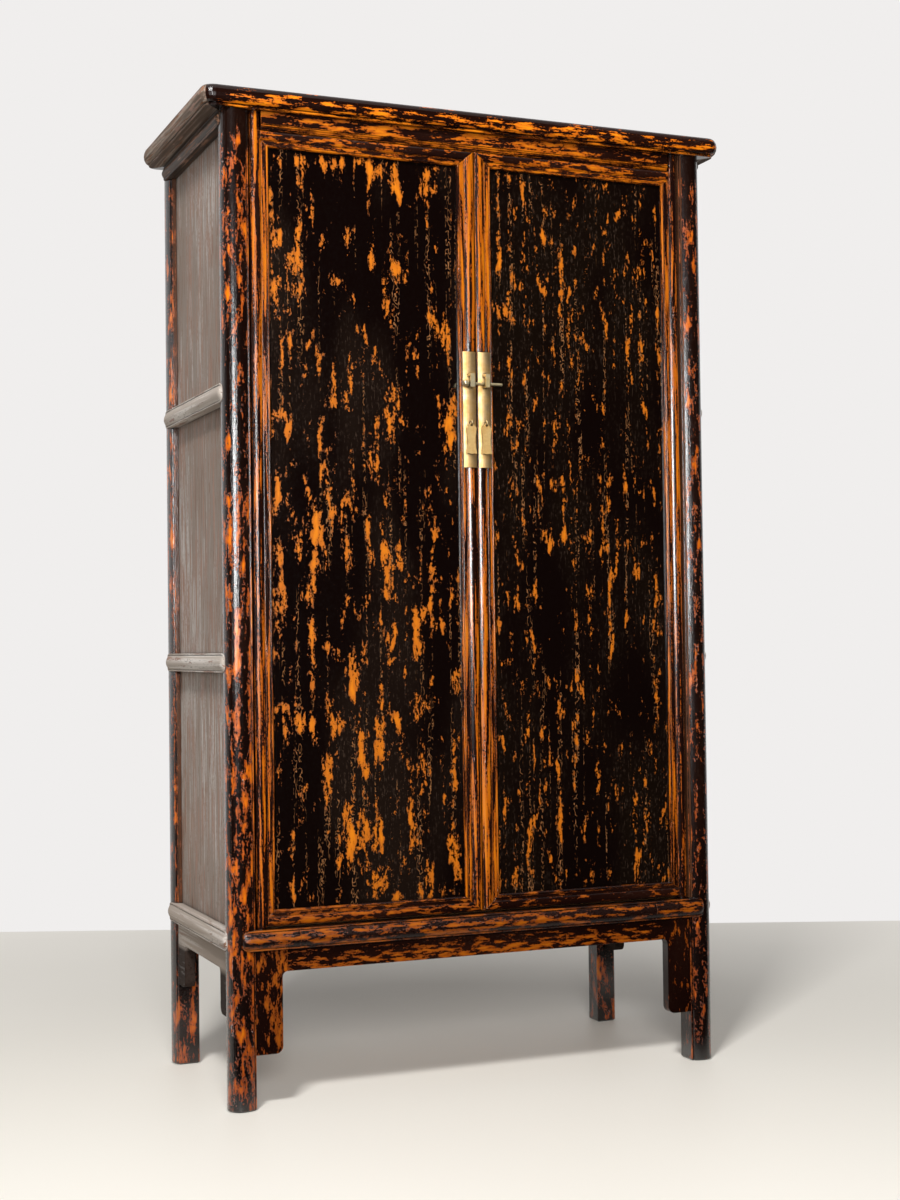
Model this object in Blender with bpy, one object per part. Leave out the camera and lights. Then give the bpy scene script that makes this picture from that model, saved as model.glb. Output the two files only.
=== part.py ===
# Lacquered wardrobe with round corner posts, two pivot doors and a brass pin lock.
# Metres, +Z up, front towards -Y, origin on the floor under the middle of the top.

import math

import bmesh
import bpy
from mathutils import Vector

# Fits
FIT = 0.0003
MITRE_GAP = 0.0003
RUNNING_GAP = 0.0006
OVERRUN = 0.010

# Whole cabinet
HEIGHT = 1.888
POST_SPAN_X = 1.016
POST_SPAN_Y = 0.476

# Top
TOP_OVERHANG_X = 0.040
TOP_OVERHANG_Y = 0.0125
TOP_THICKNESS = 0.038
TOP_CORNER_RADIUS = 0.025
TOP_MEMBER_WIDTH = 0.078
TOP_FILLET_HEIGHT = 0.005
TOP_FILLET_INSET = 0.011
TOP_FILLET_SWELL = 0.0016
TOP_FILLET_EDGE = 0.001
TOP_NOSE_DEPTH = 0.009
TOP_PANEL_THICKNESS = 0.020
TOP_PANEL_DROP = 0.0006
TONGUE = 0.008
TONGUE_LIFT = 0.004
TONGUE_THICKNESS = 0.008

# Posts
POST_SIZE = 0.051
POST_CORNER_RADIUS = 0.024
POST_FACE_FALL = 0.008
POST_BEAD = 0.0035
POST_QUIRK = 0.0015
FOOT_CHAMFER = 0.003

# Rails of the carcass
SIDE_RAIL_HEIGHT = 0.036
TOP_RAIL_HEIGHT = 0.030
BOTTOM_RAIL_HEIGHT = 0.037
BOTTOM_RAIL_TOP = 0.329
UPPER_RAIL_CENTRE = 1.322
LOWER_RAIL_CENTRE = 0.821
RAIL_PROUD = 0.007
RAIL_BEAD = 0.0035
RAIL_END_INSET = 0.019
RAIL_CAP = 0.013
RAIL_HOUSING = 0.014
RAIL_DEPTH = 0.044
BACK_RAIL_HEIGHT = 0.040
BACK_RAIL_DEPTH = 0.034
BACK_RAIL_SETBACK = 0.008

# Front header and front bottom rail
HEADER_HEIGHT = 0.034
HEADER_SETBACK = 0.007
HEADER_DEPTH = 0.044
FRONT_RAIL_PROUD = 0.008
FRONT_RAIL_DEPTH = 0.052
PIVOT_BLOCK_LENGTH = 0.083
PIVOT_BLOCK_END_INSET = 0.024
PIVOT_BLOCK_HOUSING = 0.010

# Panels, shelves and floor
PANEL_THICKNESS = 0.009
PANEL_GROOVE = 0.008
SIDE_PANEL_RECESS = 0.018
BACK_PANEL_RECESS = 0.020
SHELF_THICKNESS = 0.016
SHELF_FRONT_GAP = 0.010
FLOOR_FRONT_GAP = 0.004

# Aprons and brackets
APRON_DROP = 0.042
APRON_THICKNESS = 0.022
APRON_SETBACK = 0.009
BRACKET_WIDTH = 0.051
FRONT_BRACKET_DROP = 0.150
SIDE_BRACKET_DROP = 0.085
BRACKET_INNER_RADIUS = 0.010
BRACKET_TIP_RADIUS = 0.014

# Doors
DOOR_SETBACK = 0.006
DOOR_THICKNESS = 0.022
DOOR_SIDE_GAP = 0.002
DOOR_MEETING_GAP = 0.002
DOOR_TOP_GAP = 0.002
DOOR_BOTTOM_GAP = 0.005
PIVOT_STILE_WIDTH = 0.038
MEETING_STILE_WIDTH = 0.035
DOOR_RAIL_WIDTH = 0.030
STILE_STRIP = 0.020
RAIL_STRIP = 0.017
STRIP_FALL = 0.003
QUIRK_WIDTH = 0.0006
QUIRK_DEPTH = 0.001
FLAT_STEP = 0.0006
MEMBER_BEAD = 0.005
DOOR_PANEL_RECESS = 0.0105
DOOR_PANEL_GROOVE = 0.007
DOOR_BACK_LIP = 0.0032
HORN_INSET = 0.0003
PIN_RADIUS = 0.006
TOP_PIN_LENGTH = 0.016
BOTTOM_PIN_LENGTH = 0.012

# Brass plates, staples, pin and pulls
PLATE_WIDTH = 0.027
PLATE_HEIGHT = 0.226
PLATE_BOTTOM = 1.194
PLATE_THICKNESS = 0.0016
PLATE_RADIUS = 0.036
PLATE_EDGE_GAP = 0.0015
STAPLE_HEIGHT = 0.026
STAPLE_WIDTH = 0.009
STAPLE_BAR = 0.0042
STAPLE_ROOT = 0.010
STAPLE_CLEARANCE = 0.0009
STAPLE_DROP = 0.0577
LOCK_PIN_RADIUS = 0.0028
LOCK_PIN_REACH = 0.0295
LOCK_PIN_POINT = 0.0015
LOCK_PIN_POINT_SHARE = 0.6
LOCK_PIN_HEAD_RADIUS = 0.0065
LOCK_PIN_HEAD_LENGTH = 0.011
LOCK_PIN_HEAD_GAP = 0.0015
EYE_RISE = 0.087
EYE_RADIUS = 0.0038
EYE_WIRE = 0.0012
EYE_SHANK_RADIUS = 0.0011
EYE_SHANK_LENGTH = 0.012
PULL_LENGTH = 0.062
PULL_SHOULDER_WIDTH = 0.021
PULL_WAIST_WIDTH = 0.0155
PULL_FOOT_WIDTH = 0.022
PULL_ROOF = 0.011
PULL_THICKNESS = 0.0016
PULL_HOLE_RADIUS = 0.0026
PULL_NECK = 0.0054
PULL_SCALLOP = 0.0015

# Moulding shapes: pairs of shares or offsets, as each note says
# Post bead: share of its width from the inner edge, share of the quirk's depth
POST_BEAD_SHAPE = ((0.0, 1.0), (0.2, 0.3), (0.5, 0.0), (0.8, 0.3), (1.0, 1.0))
# Rail bead: share of its width from the rail's edge, share of the shoulder's reach
RAIL_BEAD_SHAPE = ((0.0, 0.7), (0.3, 1.2), (0.7, 1.2), (1.0, 0.4))
RAIL_SHOULDER = 0.3
RAIL_QUIRK = 0.2
# Rounded rail ends: turns in degrees, then the height and reach left at the very end
CAP_TURNS = (0, 30, 52, 70, 84)
CAP_HEIGHT_SHARE = 0.45
CAP_REACH_SHARE = 0.25
# Door member bead: share of its width from the inner edge, depth behind the flat
MEMBER_BEAD_SHAPE = ((1.04, 0.0010), (0.85, -0.0002), (0.55, -0.0004), (0.25, 0.0006), (0.0, 0.0030))
# Header moulding: depth behind the face, height above the lower edge
HEADER_SHAPE = (
    (0.0, 0.0105), (0.0014, 0.0097), (-0.0008, 0.0085), (-0.0008, 0.0070),
    (0.0014, 0.0058), (0.0014, 0.0035), (0.0030, 0.0012), (0.0030, 0.0),
)
# Top edge: turns of the bullnose in degrees, and how fast the plan corners tighten with it
TOP_NOSE_TURNS = (-75, -50, -25, 0, 25, 50, 72, 90)
TOP_CORNER_TIGHTENING = 0.6
# Pin head: share of its length from the end, share of its radius
PIN_HEAD_SHAPE = ((0.0, 0.55), (0.11, 0.85), (0.27, 1.0), (0.86, 1.0), (1.0, 0.85))
# Pull: waist and flare curves, then the scallop of the foot as shares of its width and depth
PULL_WAIST_POWER = 1.3
PULL_FLARE_POWER = 3
PULL_FOOT_SHAPE = ((0.27, 1.0), (0.1, 0.2))

# Points along the curves
CROWN_STEPS = 8
CORNER_STEPS = 6
EDGE_STEPS = 4
STRIP_STEPS = 8
TURNED_STEPS = 10
SOCKET_STEPS = 24
PIN_STEPS = 16
WIRE_STEPS = 8
RING_STEPS = 20
SMOOTH_ANGLE = 40

# Places worked out from the sizes
HALF_X = POST_SPAN_X / 2
HALF_Y = POST_SPAN_Y / 2
INNER_X = HALF_X - POST_SIZE
INNER_Y = HALF_Y - POST_SIZE
TOP_WIDTH = POST_SPAN_X + 2 * TOP_OVERHANG_X
TOP_DEPTH = POST_SPAN_Y + 2 * TOP_OVERHANG_Y
TOP_UNDERSIDE = HEIGHT - TOP_THICKNESS
UNDER_TOP = TOP_UNDERSIDE - FIT
BOTTOM_RAIL_BOTTOM = BOTTOM_RAIL_TOP - BOTTOM_RAIL_HEIGHT
BOTTOM_RAIL_CENTRE = BOTTOM_RAIL_TOP - BOTTOM_RAIL_HEIGHT / 2
TOP_RAIL_CENTRE = UNDER_TOP - TOP_RAIL_HEIGHT / 2
TOP_RAIL_BOTTOM = UNDER_TOP - TOP_RAIL_HEIGHT
UPPER_RAIL_TOP = UPPER_RAIL_CENTRE + SIDE_RAIL_HEIGHT / 2
LOWER_RAIL_TOP = LOWER_RAIL_CENTRE + SIDE_RAIL_HEIGHT / 2
RAIL_LAP = POST_SIZE - RAIL_END_INSET
PIVOT_BLOCK_LAP = POST_SIZE - PIVOT_BLOCK_END_INSET
HEADER_BOTTOM = UNDER_TOP - HEADER_HEIGHT
DOOR_FRONT = -HALF_Y + DOOR_SETBACK
DOOR_BACK = DOOR_FRONT + DOOR_THICKNESS
DOOR_TOP = HEADER_BOTTOM - DOOR_TOP_GAP
DOOR_BOTTOM = BOTTOM_RAIL_TOP + DOOR_BOTTOM_GAP
DOOR_OUTER = INNER_X - DOOR_SIDE_GAP
DOOR_INNER = DOOR_MEETING_GAP / 2
PIVOT_RADIUS = DOOR_THICKNESS / 2
PIVOT_X = DOOR_OUTER - PIVOT_RADIUS
PIVOT_Y = DOOR_FRONT + PIVOT_RADIUS
PIVOT_STRIP = 2 * PIVOT_RADIUS
HORN_RADIUS = PIVOT_RADIUS - HORN_INSET
DOOR_PANEL_FACE = DOOR_FRONT + DOOR_PANEL_RECESS
DOOR_PANEL_THICKNESS = DOOR_THICKNESS - DOOR_PANEL_RECESS - DOOR_BACK_LIP - FIT
SOCKET_RADIUS = PIN_RADIUS + RUNNING_GAP
HORN_SPACE = PIVOT_RADIUS + 2 * RUNNING_GAP
SEAM_X = INNER_X - PIVOT_BLOCK_LENGTH
APRON_BOTTOM = BOTTOM_RAIL_BOTTOM - FIT - APRON_DROP
PLATE_CENTRE_X = DOOR_INNER + PLATE_EDGE_GAP + PLATE_WIDTH / 2
PLATE_OFF_CREST = PLATE_CENTRE_X - DOOR_INNER - STILE_STRIP / 2
PLATE_BACK = DOOR_FRONT - 2 * FIT - PLATE_OFF_CREST ** 2 / (2 * PLATE_RADIUS)
PLATE_FRONT = PLATE_BACK - PLATE_THICKNESS
PLATE_TOP = PLATE_BOTTOM + PLATE_HEIGHT
STAPLE_CENTRE = PLATE_TOP - STAPLE_DROP
STAPLE_FLOOR = STAPLE_CENTRE - STAPLE_HEIGHT / 2 + STAPLE_BAR
LOCK_PIN_Z = STAPLE_FLOOR + FIT + LOCK_PIN_RADIUS
LOCK_PIN_Y = PLATE_FRONT - 2 * FIT - LOCK_PIN_HEAD_RADIUS
STAPLE_INSIDE = LOCK_PIN_Y - LOCK_PIN_RADIUS - STAPLE_CLEARANCE
STAPLE_FRONT = STAPLE_INSIDE - STAPLE_BAR
LOCK_PIN_TIP = PLATE_CENTRE_X + STAPLE_WIDTH / 2 + LOCK_PIN_REACH
EYE_CENTRE = PLATE_BOTTOM + EYE_RISE
EYE_Y = PLATE_FRONT - FIT - EYE_RADIUS - EYE_WIRE
PULL_HOLE_Z = EYE_CENTRE - EYE_RADIUS + EYE_WIRE + FIT - PULL_HOLE_RADIUS

SIDES = {"left": -1, "right": 1}
ENDS = {"front": -1, "back": 1}


def clear_scene():
    for thing in list(bpy.data.objects):
        bpy.data.objects.remove(thing, do_unlink=True)


def make_material(name, colour, roughness, metallic=0.0):
    material = bpy.data.materials.new(name)
    material.use_nodes = True
    shader = material.node_tree.nodes["Principled BSDF"]
    shader.inputs["Base Color"].default_value = (*colour, 1.0)
    shader.inputs["Roughness"].default_value = roughness
    shader.inputs["Metallic"].default_value = metallic
    return material


clear_scene()
LACQUER = make_material("worn_black_lacquer", (0.030, 0.016, 0.010), 0.30)
RED_LACQUER = make_material("worn_red_lacquer", (0.32, 0.075, 0.020), 0.35)
BARE_WOOD = make_material("plain_elm", (0.30, 0.19, 0.10), 0.65)
BRASS = make_material("satin_brass", (0.70, 0.55, 0.26), 0.32, 1.0)


def add_object(name, mesh, material, parent=None):
    middle = sum((Vector(corner) for corner in bounds_of(mesh)), Vector()) / 2
    for vertex in mesh.vertices:
        vertex.co -= middle
    thing = bpy.data.objects.new(name, mesh)
    bpy.context.scene.collection.objects.link(thing)
    thing.location = middle
    if parent:
        thing.parent = parent
        thing.location = middle - parent.location
    if material:
        mesh.materials.append(material)
    return thing


def bounds_of(mesh):
    low = [min(vertex.co[axis] for vertex in mesh.vertices) for axis in range(3)]
    high = [max(vertex.co[axis] for vertex in mesh.vertices) for axis in range(3)]
    return low, high


def loft(name, rings, material=None, parent=None):
    # Closed solid through rings of equal length, capped at both ends.
    grid = bmesh.new()
    layers = [[grid.verts.new(point) for point in ring] for ring in rings]
    count = len(rings[0])
    for lower, upper in zip(layers, layers[1:]):
        for here in range(count):
            after = (here + 1) % count
            grid.faces.new((lower[here], lower[after], upper[after], upper[here]))
    grid.faces.new(layers[0][::-1])
    grid.faces.new(layers[-1])
    bmesh.ops.recalc_face_normals(grid, faces=grid.faces)
    mesh = bpy.data.meshes.new(name)
    grid.to_mesh(mesh)
    grid.free()
    return add_object(name, mesh, material, parent)


def prism(name, outline, axis, start, end, material=None, parent=None):
    # Outline points are the two other coordinates, in X, Y, Z order.
    def lifted(point, along):
        coordinates = list(point)
        coordinates.insert(axis, along)
        return Vector(coordinates)

    rings = [[lifted(point, along) for point in outline] for along in (start, end)]
    return loft(name, rings, material, parent)


def box(name, low, high, material=None, parent=None):
    outline = [(low[0], low[1]), (high[0], low[1]), (high[0], high[1]), (low[0], high[1])]
    return prism(name, outline, 2, low[2], high[2], material, parent)


def circle(centre, radius, steps):
    turns = [2 * math.pi * step / steps for step in range(steps)]
    return [(centre[0] + radius * math.cos(t), centre[1] + radius * math.sin(t)) for t in turns]


def arc(centre, radius, first, last, steps):
    # Points from one angle to another, in degrees, both ends included.
    angles = [math.radians(first + (last - first) * step / steps) for step in range(steps + 1)]
    return [(centre[0] + radius * math.cos(a), centre[1] + radius * math.sin(a)) for a in angles]


def as_helper(thing):
    thing.hide_render = True
    thing.display_type = "WIRE"
    return thing


def shape_with(thing, helper, operation="DIFFERENCE"):
    change = thing.modifiers.new(helper.name, "BOOLEAN")
    change.operation = operation
    change.solver = "EXACT"
    change.object = as_helper(helper)


def shade_round(thing):
    thing.data.shade_smooth()
    thing.data.set_sharp_from_angle(angle=math.radians(SMOOTH_ANGLE))


def axis_empty(name, place):
    empty = bpy.data.objects.new(name, None)
    bpy.context.scene.collection.objects.link(empty)
    empty.location = place
    return empty


# Outlines

def post_outline(side, end):
    # Square inside, convex outer faces, a round outer corner and a bead along each inner edge.
    foot_of_curve = POST_SIZE - POST_BEAD - POST_QUIRK
    span = POST_SIZE - POST_CORNER_RADIUS
    half = [(POST_SIZE, POST_SIZE)]
    for across, depth in POST_BEAD_SHAPE:
        half.append((POST_SIZE - POST_BEAD * across, POST_FACE_FALL + POST_QUIRK * depth))
    for step in range(EDGE_STEPS):
        across = foot_of_curve + (POST_CORNER_RADIUS - foot_of_curve) * step / EDGE_STEPS
        half.append((across, POST_FACE_FALL * ((across - POST_CORNER_RADIUS) / span) ** 2))
    centre = (POST_CORNER_RADIUS, POST_CORNER_RADIUS)
    half += arc(centre, POST_CORNER_RADIUS, 270, 225, EDGE_STEPS)
    mirrored = [(b, a) for a, b in half[1:-1]][::-1]
    return [(side * (HALF_X - a), end * (HALF_Y - b)) for a, b in half + mirrored]


def nose_outline(height, proud, depth):
    # Half-round rail face with a thin bead along both edges: outward distance, height.
    half = height / 2
    swell = half - RAIL_BEAD - RAIL_QUIRK * RAIL_BEAD
    low = proud * RAIL_SHOULDER
    lower = [(-depth, -half)]
    lower += [(low * out, -half + across * RAIL_BEAD) for across, out in RAIL_BEAD_SHAPE]
    crown = []
    for step in range(CROWN_STEPS + 1):
        share = 2 * step / CROWN_STEPS - 1
        crown.append((low + (proud - low) * math.cos(share * math.pi / 2), share * swell))
    upper = [(out, -rise) for out, rise in lower][::-1]
    return lower + crown + upper


def nose_caps(first, last, round_first=True, round_last=True):
    # Positions along a rail and how far each section shrinks towards a rounded end.
    turns = [math.radians(angle) for angle in CAP_TURNS]
    stops = []
    if round_first:
        stops += [(first + RAIL_CAP * (1 - math.sin(turn)), math.cos(turn)) for turn in turns[::-1]]
    else:
        stops.append((first, 1.0))
    if round_last:
        stops += [(last - RAIL_CAP * (1 - math.sin(turn)), math.cos(turn)) for turn in turns]
    else:
        stops.append((last, 1.0))
    return stops


def shrunk(outline, share):
    lift = CAP_HEIGHT_SHARE + (1 - CAP_HEIGHT_SHARE) * share
    out = CAP_REACH_SHARE + (1 - CAP_REACH_SHARE) * share
    return [(d * out if d > 0 else d, v * lift) for d, v in outline]


def member_front(width, strip):
    # Front of a door member from its outer edge inwards: convex strip, flat, bead.
    crest = strip / 2
    radius = (crest ** 2 + STRIP_FALL ** 2) / (2 * STRIP_FALL)
    points = []
    for step in range(STRIP_STEPS + 1):
        across = strip * step / STRIP_STEPS
        points.append((across, radius - math.sqrt(radius ** 2 - (across - crest) ** 2)))
    return points + member_inside(width, strip)


def member_inside(width, strip):
    # From the line beside the strip, over the flat and the bead, to the groove for the panel.
    flat = STRIP_FALL + FLAT_STEP
    points = [(strip + QUIRK_WIDTH, flat + QUIRK_DEPTH), (strip + 2 * QUIRK_WIDTH, flat)]
    points.append((width - MEMBER_BEAD - QUIRK_WIDTH, flat))
    points += [(width - MEMBER_BEAD * across, flat + depth) for across, depth in MEMBER_BEAD_SHAPE]
    groove = width - DOOR_PANEL_GROOVE
    front = DOOR_PANEL_RECESS - FIT
    back = DOOR_THICKNESS - DOOR_BACK_LIP
    points += [(width, front), (groove, front), (groove, back), (width, back)]
    return points + [(width, DOOR_THICKNESS)]


def floor_outline(front, back):
    # A board between the side panels, cut out round the four posts.
    wide = HALF_X - SIDE_PANEL_RECESS - PANEL_THICKNESS - 2 * FIT
    narrow = INNER_X - FIT
    reach = INNER_Y - FIT
    right = [(narrow, front), (narrow, -reach), (wide, -reach)]
    right += [(wide, reach), (narrow, reach), (narrow, back)]
    left = [(-x, y) for x, y in right][::-1]
    return right + left


# Carcass

def make_posts():
    posts = {}
    for side_name, side in SIDES.items():
        for end_name, end in ENDS.items():
            outline = post_outline(side, end)
            middle = (side * (HALF_X - POST_SIZE / 2), end * (HALF_Y - POST_SIZE / 2))
            share = 1 - 2 * FOOT_CHAMFER / POST_SIZE
            foot = [tuple(m + (p - m) * share for p, m in zip(point, middle)) for point in outline]
            rings = []
            for ring, height in ((foot, 0), (outline, FOOT_CHAMFER), (outline, UNDER_TOP)):
                rings.append([Vector((x, y, height)) for x, y in ring])
            post = loft(f"post_{end_name}_{side_name}", rings, LACQUER)
            shade_round(post)
            posts[side_name, end_name] = post
    return posts


def side_rail(name, side, centre, height, grow=0.0, material=None):
    depth = RAIL_HOUSING + grow if grow else RAIL_DEPTH
    outline = nose_outline(height + 2 * grow, RAIL_PROUD, depth)
    reach = INNER_Y + RAIL_LAP + grow
    rings = []
    for along, share in nose_caps(-reach, reach):
        ring = shrunk(outline, share)
        rings.append([Vector((side * (HALF_X + d), along, centre + v)) for d, v in ring])
    rail = loft(name, rings, material)
    shade_round(rail)
    return rail


def make_side_rails(posts):
    levels = {
        "top_rail": (TOP_RAIL_CENTRE, TOP_RAIL_HEIGHT, (-1,)),
        "side_rail_upper": (UPPER_RAIL_CENTRE, SIDE_RAIL_HEIGHT, (-1, 1)),
        "side_rail_lower": (LOWER_RAIL_CENTRE, SIDE_RAIL_HEIGHT, (-1, 1)),
        "bottom_rail": (BOTTOM_RAIL_CENTRE, BOTTOM_RAIL_HEIGHT, (1,)),
    }
    for side_name, side in SIDES.items():
        for level_name, (centre, height, grooved) in levels.items():
            name = f"{level_name}_{side_name}"
            rail = side_rail(name, side, centre, height, material=LACQUER)
            for end_name, end in ENDS.items():
                inner = side * (HALF_X - RAIL_DEPTH - OVERRUN)
                outer = side * (HALF_X - RAIL_HOUSING)
                across = sorted((inner, outer))
                along = sorted((end * (INNER_Y - FIT), end * HALF_Y))
                low = (across[0], along[0], centre - height)
                high = (across[1], along[1], centre + height)
                shape_with(rail, box(f"{name}_{end_name}_shoulder", low, high))
                seat = side_rail(f"{name}_{end_name}_seat", side, centre, height, grow=FIT)
                shape_with(posts[side_name, end_name], seat)
            for edge in grooved:
                face = HALF_X - SIDE_PANEL_RECESS
                places = [side * (face + FIT), side * (face - PANEL_THICKNESS - FIT)]
                levels_z = [centre + edge * (height / 2 - PANEL_GROOVE), centre + edge * height]
                low = (min(places), -HALF_Y, min(levels_z))
                high = (max(places), HALF_Y, max(levels_z))
                shape_with(rail, box(f"{name}_groove_{edge + 1}", low, high))


def make_side_panels(posts):
    edges = [
        ("upper", TOP_RAIL_BOTTOM, UPPER_RAIL_TOP),
        ("middle", UPPER_RAIL_TOP - SIDE_RAIL_HEIGHT, LOWER_RAIL_TOP),
        ("lower", LOWER_RAIL_TOP - SIDE_RAIL_HEIGHT, BOTTOM_RAIL_TOP),
    ]
    held = PANEL_GROOVE - FIT
    for side_name, side in SIDES.items():
        face = HALF_X - SIDE_PANEL_RECESS
        places = sorted((side * face, side * (face - PANEL_THICKNESS)))
        for level_name, top, bottom in edges:
            low = (places[0], -INNER_Y - held, bottom - held)
            high = (places[1], INNER_Y + held, top + held)
            box(f"side_panel_{level_name}_{side_name}", low, high, LACQUER)
        for end_name, end in ENDS.items():
            along = sorted((end * (INNER_Y - OVERRUN), end * (INNER_Y + PANEL_GROOVE)))
            low = (places[0] - FIT, along[0], BOTTOM_RAIL_TOP - PANEL_GROOVE)
            high = (places[1] + FIT, along[1], TOP_RAIL_BOTTOM + PANEL_GROOVE)
            groove = box(f"side_groove_{side_name}_{end_name}", low, high)
            shape_with(posts[side_name, end_name], groove)


def make_back(posts):
    front = HALF_Y - BACK_RAIL_SETBACK - BACK_RAIL_DEPTH
    back = HALF_Y - BACK_RAIL_SETBACK
    face = HALF_Y - BACK_PANEL_RECESS
    wide = INNER_X - FIT
    top_low = UNDER_TOP - BACK_RAIL_HEIGHT
    middle_low = LOWER_RAIL_TOP - BACK_RAIL_HEIGHT
    rails = {
        "top_rail_back": (top_low, UNDER_TOP, {"lower": top_low}),
        "back_rail_middle": (middle_low, LOWER_RAIL_TOP, {"lower": middle_low, "upper": LOWER_RAIL_TOP}),
        "bottom_rail_back": (BOTTOM_RAIL_BOTTOM, BOTTOM_RAIL_TOP, {"upper": BOTTOM_RAIL_TOP}),
    }
    for name, (bottom, top, grooved) in rails.items():
        rail = box(name, (-wide, front, bottom), (wide, back, top), LACQUER)
        for edge_name, edge in grooved.items():
            low = (-HALF_X, face - PANEL_THICKNESS - FIT, edge - PANEL_GROOVE)
            high = (HALF_X, face + FIT, edge + PANEL_GROOVE)
            shape_with(rail, box(f"{name}_{edge_name}_groove", low, high))
    held = PANEL_GROOVE - FIT
    spans = {
        "back_panel_upper": (LOWER_RAIL_TOP, top_low),
        "back_panel_lower": (BOTTOM_RAIL_TOP, middle_low),
    }
    for name, (bottom, top) in spans.items():
        low = (-INNER_X - held, face - PANEL_THICKNESS, bottom - held)
        high = (INNER_X + held, face, top + held)
        box(name, low, high, LACQUER)
    for side_name, side in SIDES.items():
        across = sorted((side * (INNER_X - OVERRUN), side * (INNER_X + PANEL_GROOVE)))
        low = (across[0], face - PANEL_THICKNESS - FIT, BOTTOM_RAIL_TOP - PANEL_GROOVE)
        high = (across[1], face + FIT, top_low + PANEL_GROOVE)
        shape_with(posts[side_name, "back"], box(f"back_groove_{side_name}", low, high))


def make_boards():
    back = HALF_Y - BACK_PANEL_RECESS - PANEL_THICKNESS - 2 * FIT
    boards = {
        "floor_board": (BOTTOM_RAIL_TOP, DOOR_BACK + FLOOR_FRONT_GAP),
        "shelf_lower": (LOWER_RAIL_TOP, DOOR_BACK + SHELF_FRONT_GAP),
        "shelf_upper": (UPPER_RAIL_TOP, DOOR_BACK + SHELF_FRONT_GAP),
    }
    for name, (seat, front) in boards.items():
        outline = floor_outline(front, back)
        prism(name, outline, 2, seat + FIT, seat + FIT + SHELF_THICKNESS, BARE_WOOD)


def make_header():
    front = -HALF_Y + HEADER_SETBACK
    back = front + HEADER_DEPTH
    outline = [(back, UNDER_TOP), (front, UNDER_TOP)]
    outline += [(front + depth, HEADER_BOTTOM + lift) for depth, lift in HEADER_SHAPE]
    outline.append((back, HEADER_BOTTOM))
    wide = INNER_X - FIT
    header = prism("header_front", outline, 0, -wide, wide, LACQUER)
    for side_name, side in SIDES.items():
        below = HEADER_BOTTOM - OVERRUN
        round_space = circle((side * PIVOT_X, PIVOT_Y), HORN_SPACE, SOCKET_STEPS)
        shape_with(header, prism(f"horn_space_{side_name}", round_space, 2, below, HEIGHT))
        across = sorted((side * (PIVOT_X - HORN_SPACE), side * HALF_X))
        low = (across[0], -HALF_Y - OVERRUN, below)
        high = (across[1], PIVOT_Y, HEIGHT)
        shape_with(header, box(f"horn_front_{side_name}", low, high))


def front_rail_rings(first, last, grow, depth, round_first, round_last):
    outline = nose_outline(BOTTOM_RAIL_HEIGHT + 2 * grow, FRONT_RAIL_PROUD, depth)
    rings = []
    for along, share in nose_caps(first, last, round_first, round_last):
        ring = shrunk(outline, share)
        rings.append([Vector((along, -HALF_Y - d, BOTTOM_RAIL_CENTRE + v)) for d, v in ring])
    return rings


def make_front_rail(posts):
    wide = INNER_X - FIT
    rings = front_rail_rings(-wide, wide, 0, FRONT_RAIL_DEPTH, False, False)
    rail = loft("bottom_rail_front", rings, LACQUER)
    shade_round(rail)
    low = BOTTOM_RAIL_BOTTOM - OVERRUN
    high = BOTTOM_RAIL_TOP + OVERRUN
    ahead = -HALF_Y - FRONT_RAIL_PROUD - OVERRUN
    for side_name, side in SIDES.items():
        across = sorted((side * (SEAM_X - FIT / 2), side * HALF_X))
        seam = box(f"seam_{side_name}", (across[0], ahead, low), (across[1], PIVOT_Y + FIT / 2, high))
        shape_with(rail, seam)
        socket = circle((side * PIVOT_X, PIVOT_Y), SOCKET_RADIUS, SOCKET_STEPS)
        depth = BOTTOM_RAIL_TOP - BOTTOM_PIN_LENGTH - RUNNING_GAP
        socket = prism(f"bottom_socket_{side_name}", socket, 2, depth, high)
        shape_with(rail, socket)
        ends = sorted((side * (SEAM_X + FIT / 2), side * (INNER_X + PIVOT_BLOCK_LAP)))
        caps = (side < 0, side > 0)
        reach = DOOR_SETBACK + PIVOT_RADIUS - FIT / 2
        block = loft(f"pivot_block_{side_name}", front_rail_rings(*ends, 0, reach, *caps), LACQUER)
        shade_round(block)
        across = sorted((side * (INNER_X - FIT), side * HALF_X))
        behind = -HALF_Y + PIVOT_BLOCK_HOUSING
        shoulder = box(f"block_shoulder_{side_name}", (across[0], behind, low), (across[1], 0, high))
        shape_with(block, shoulder)
        shape_with(block, socket)
        ends = sorted((side * (SEAM_X - OVERRUN), side * (INNER_X + PIVOT_BLOCK_LAP + FIT)))
        rings = front_rail_rings(*ends, FIT, PIVOT_BLOCK_HOUSING + FIT, *caps)
        shape_with(posts[side_name, "front"], loft(f"block_seat_{side_name}", rings))


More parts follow.
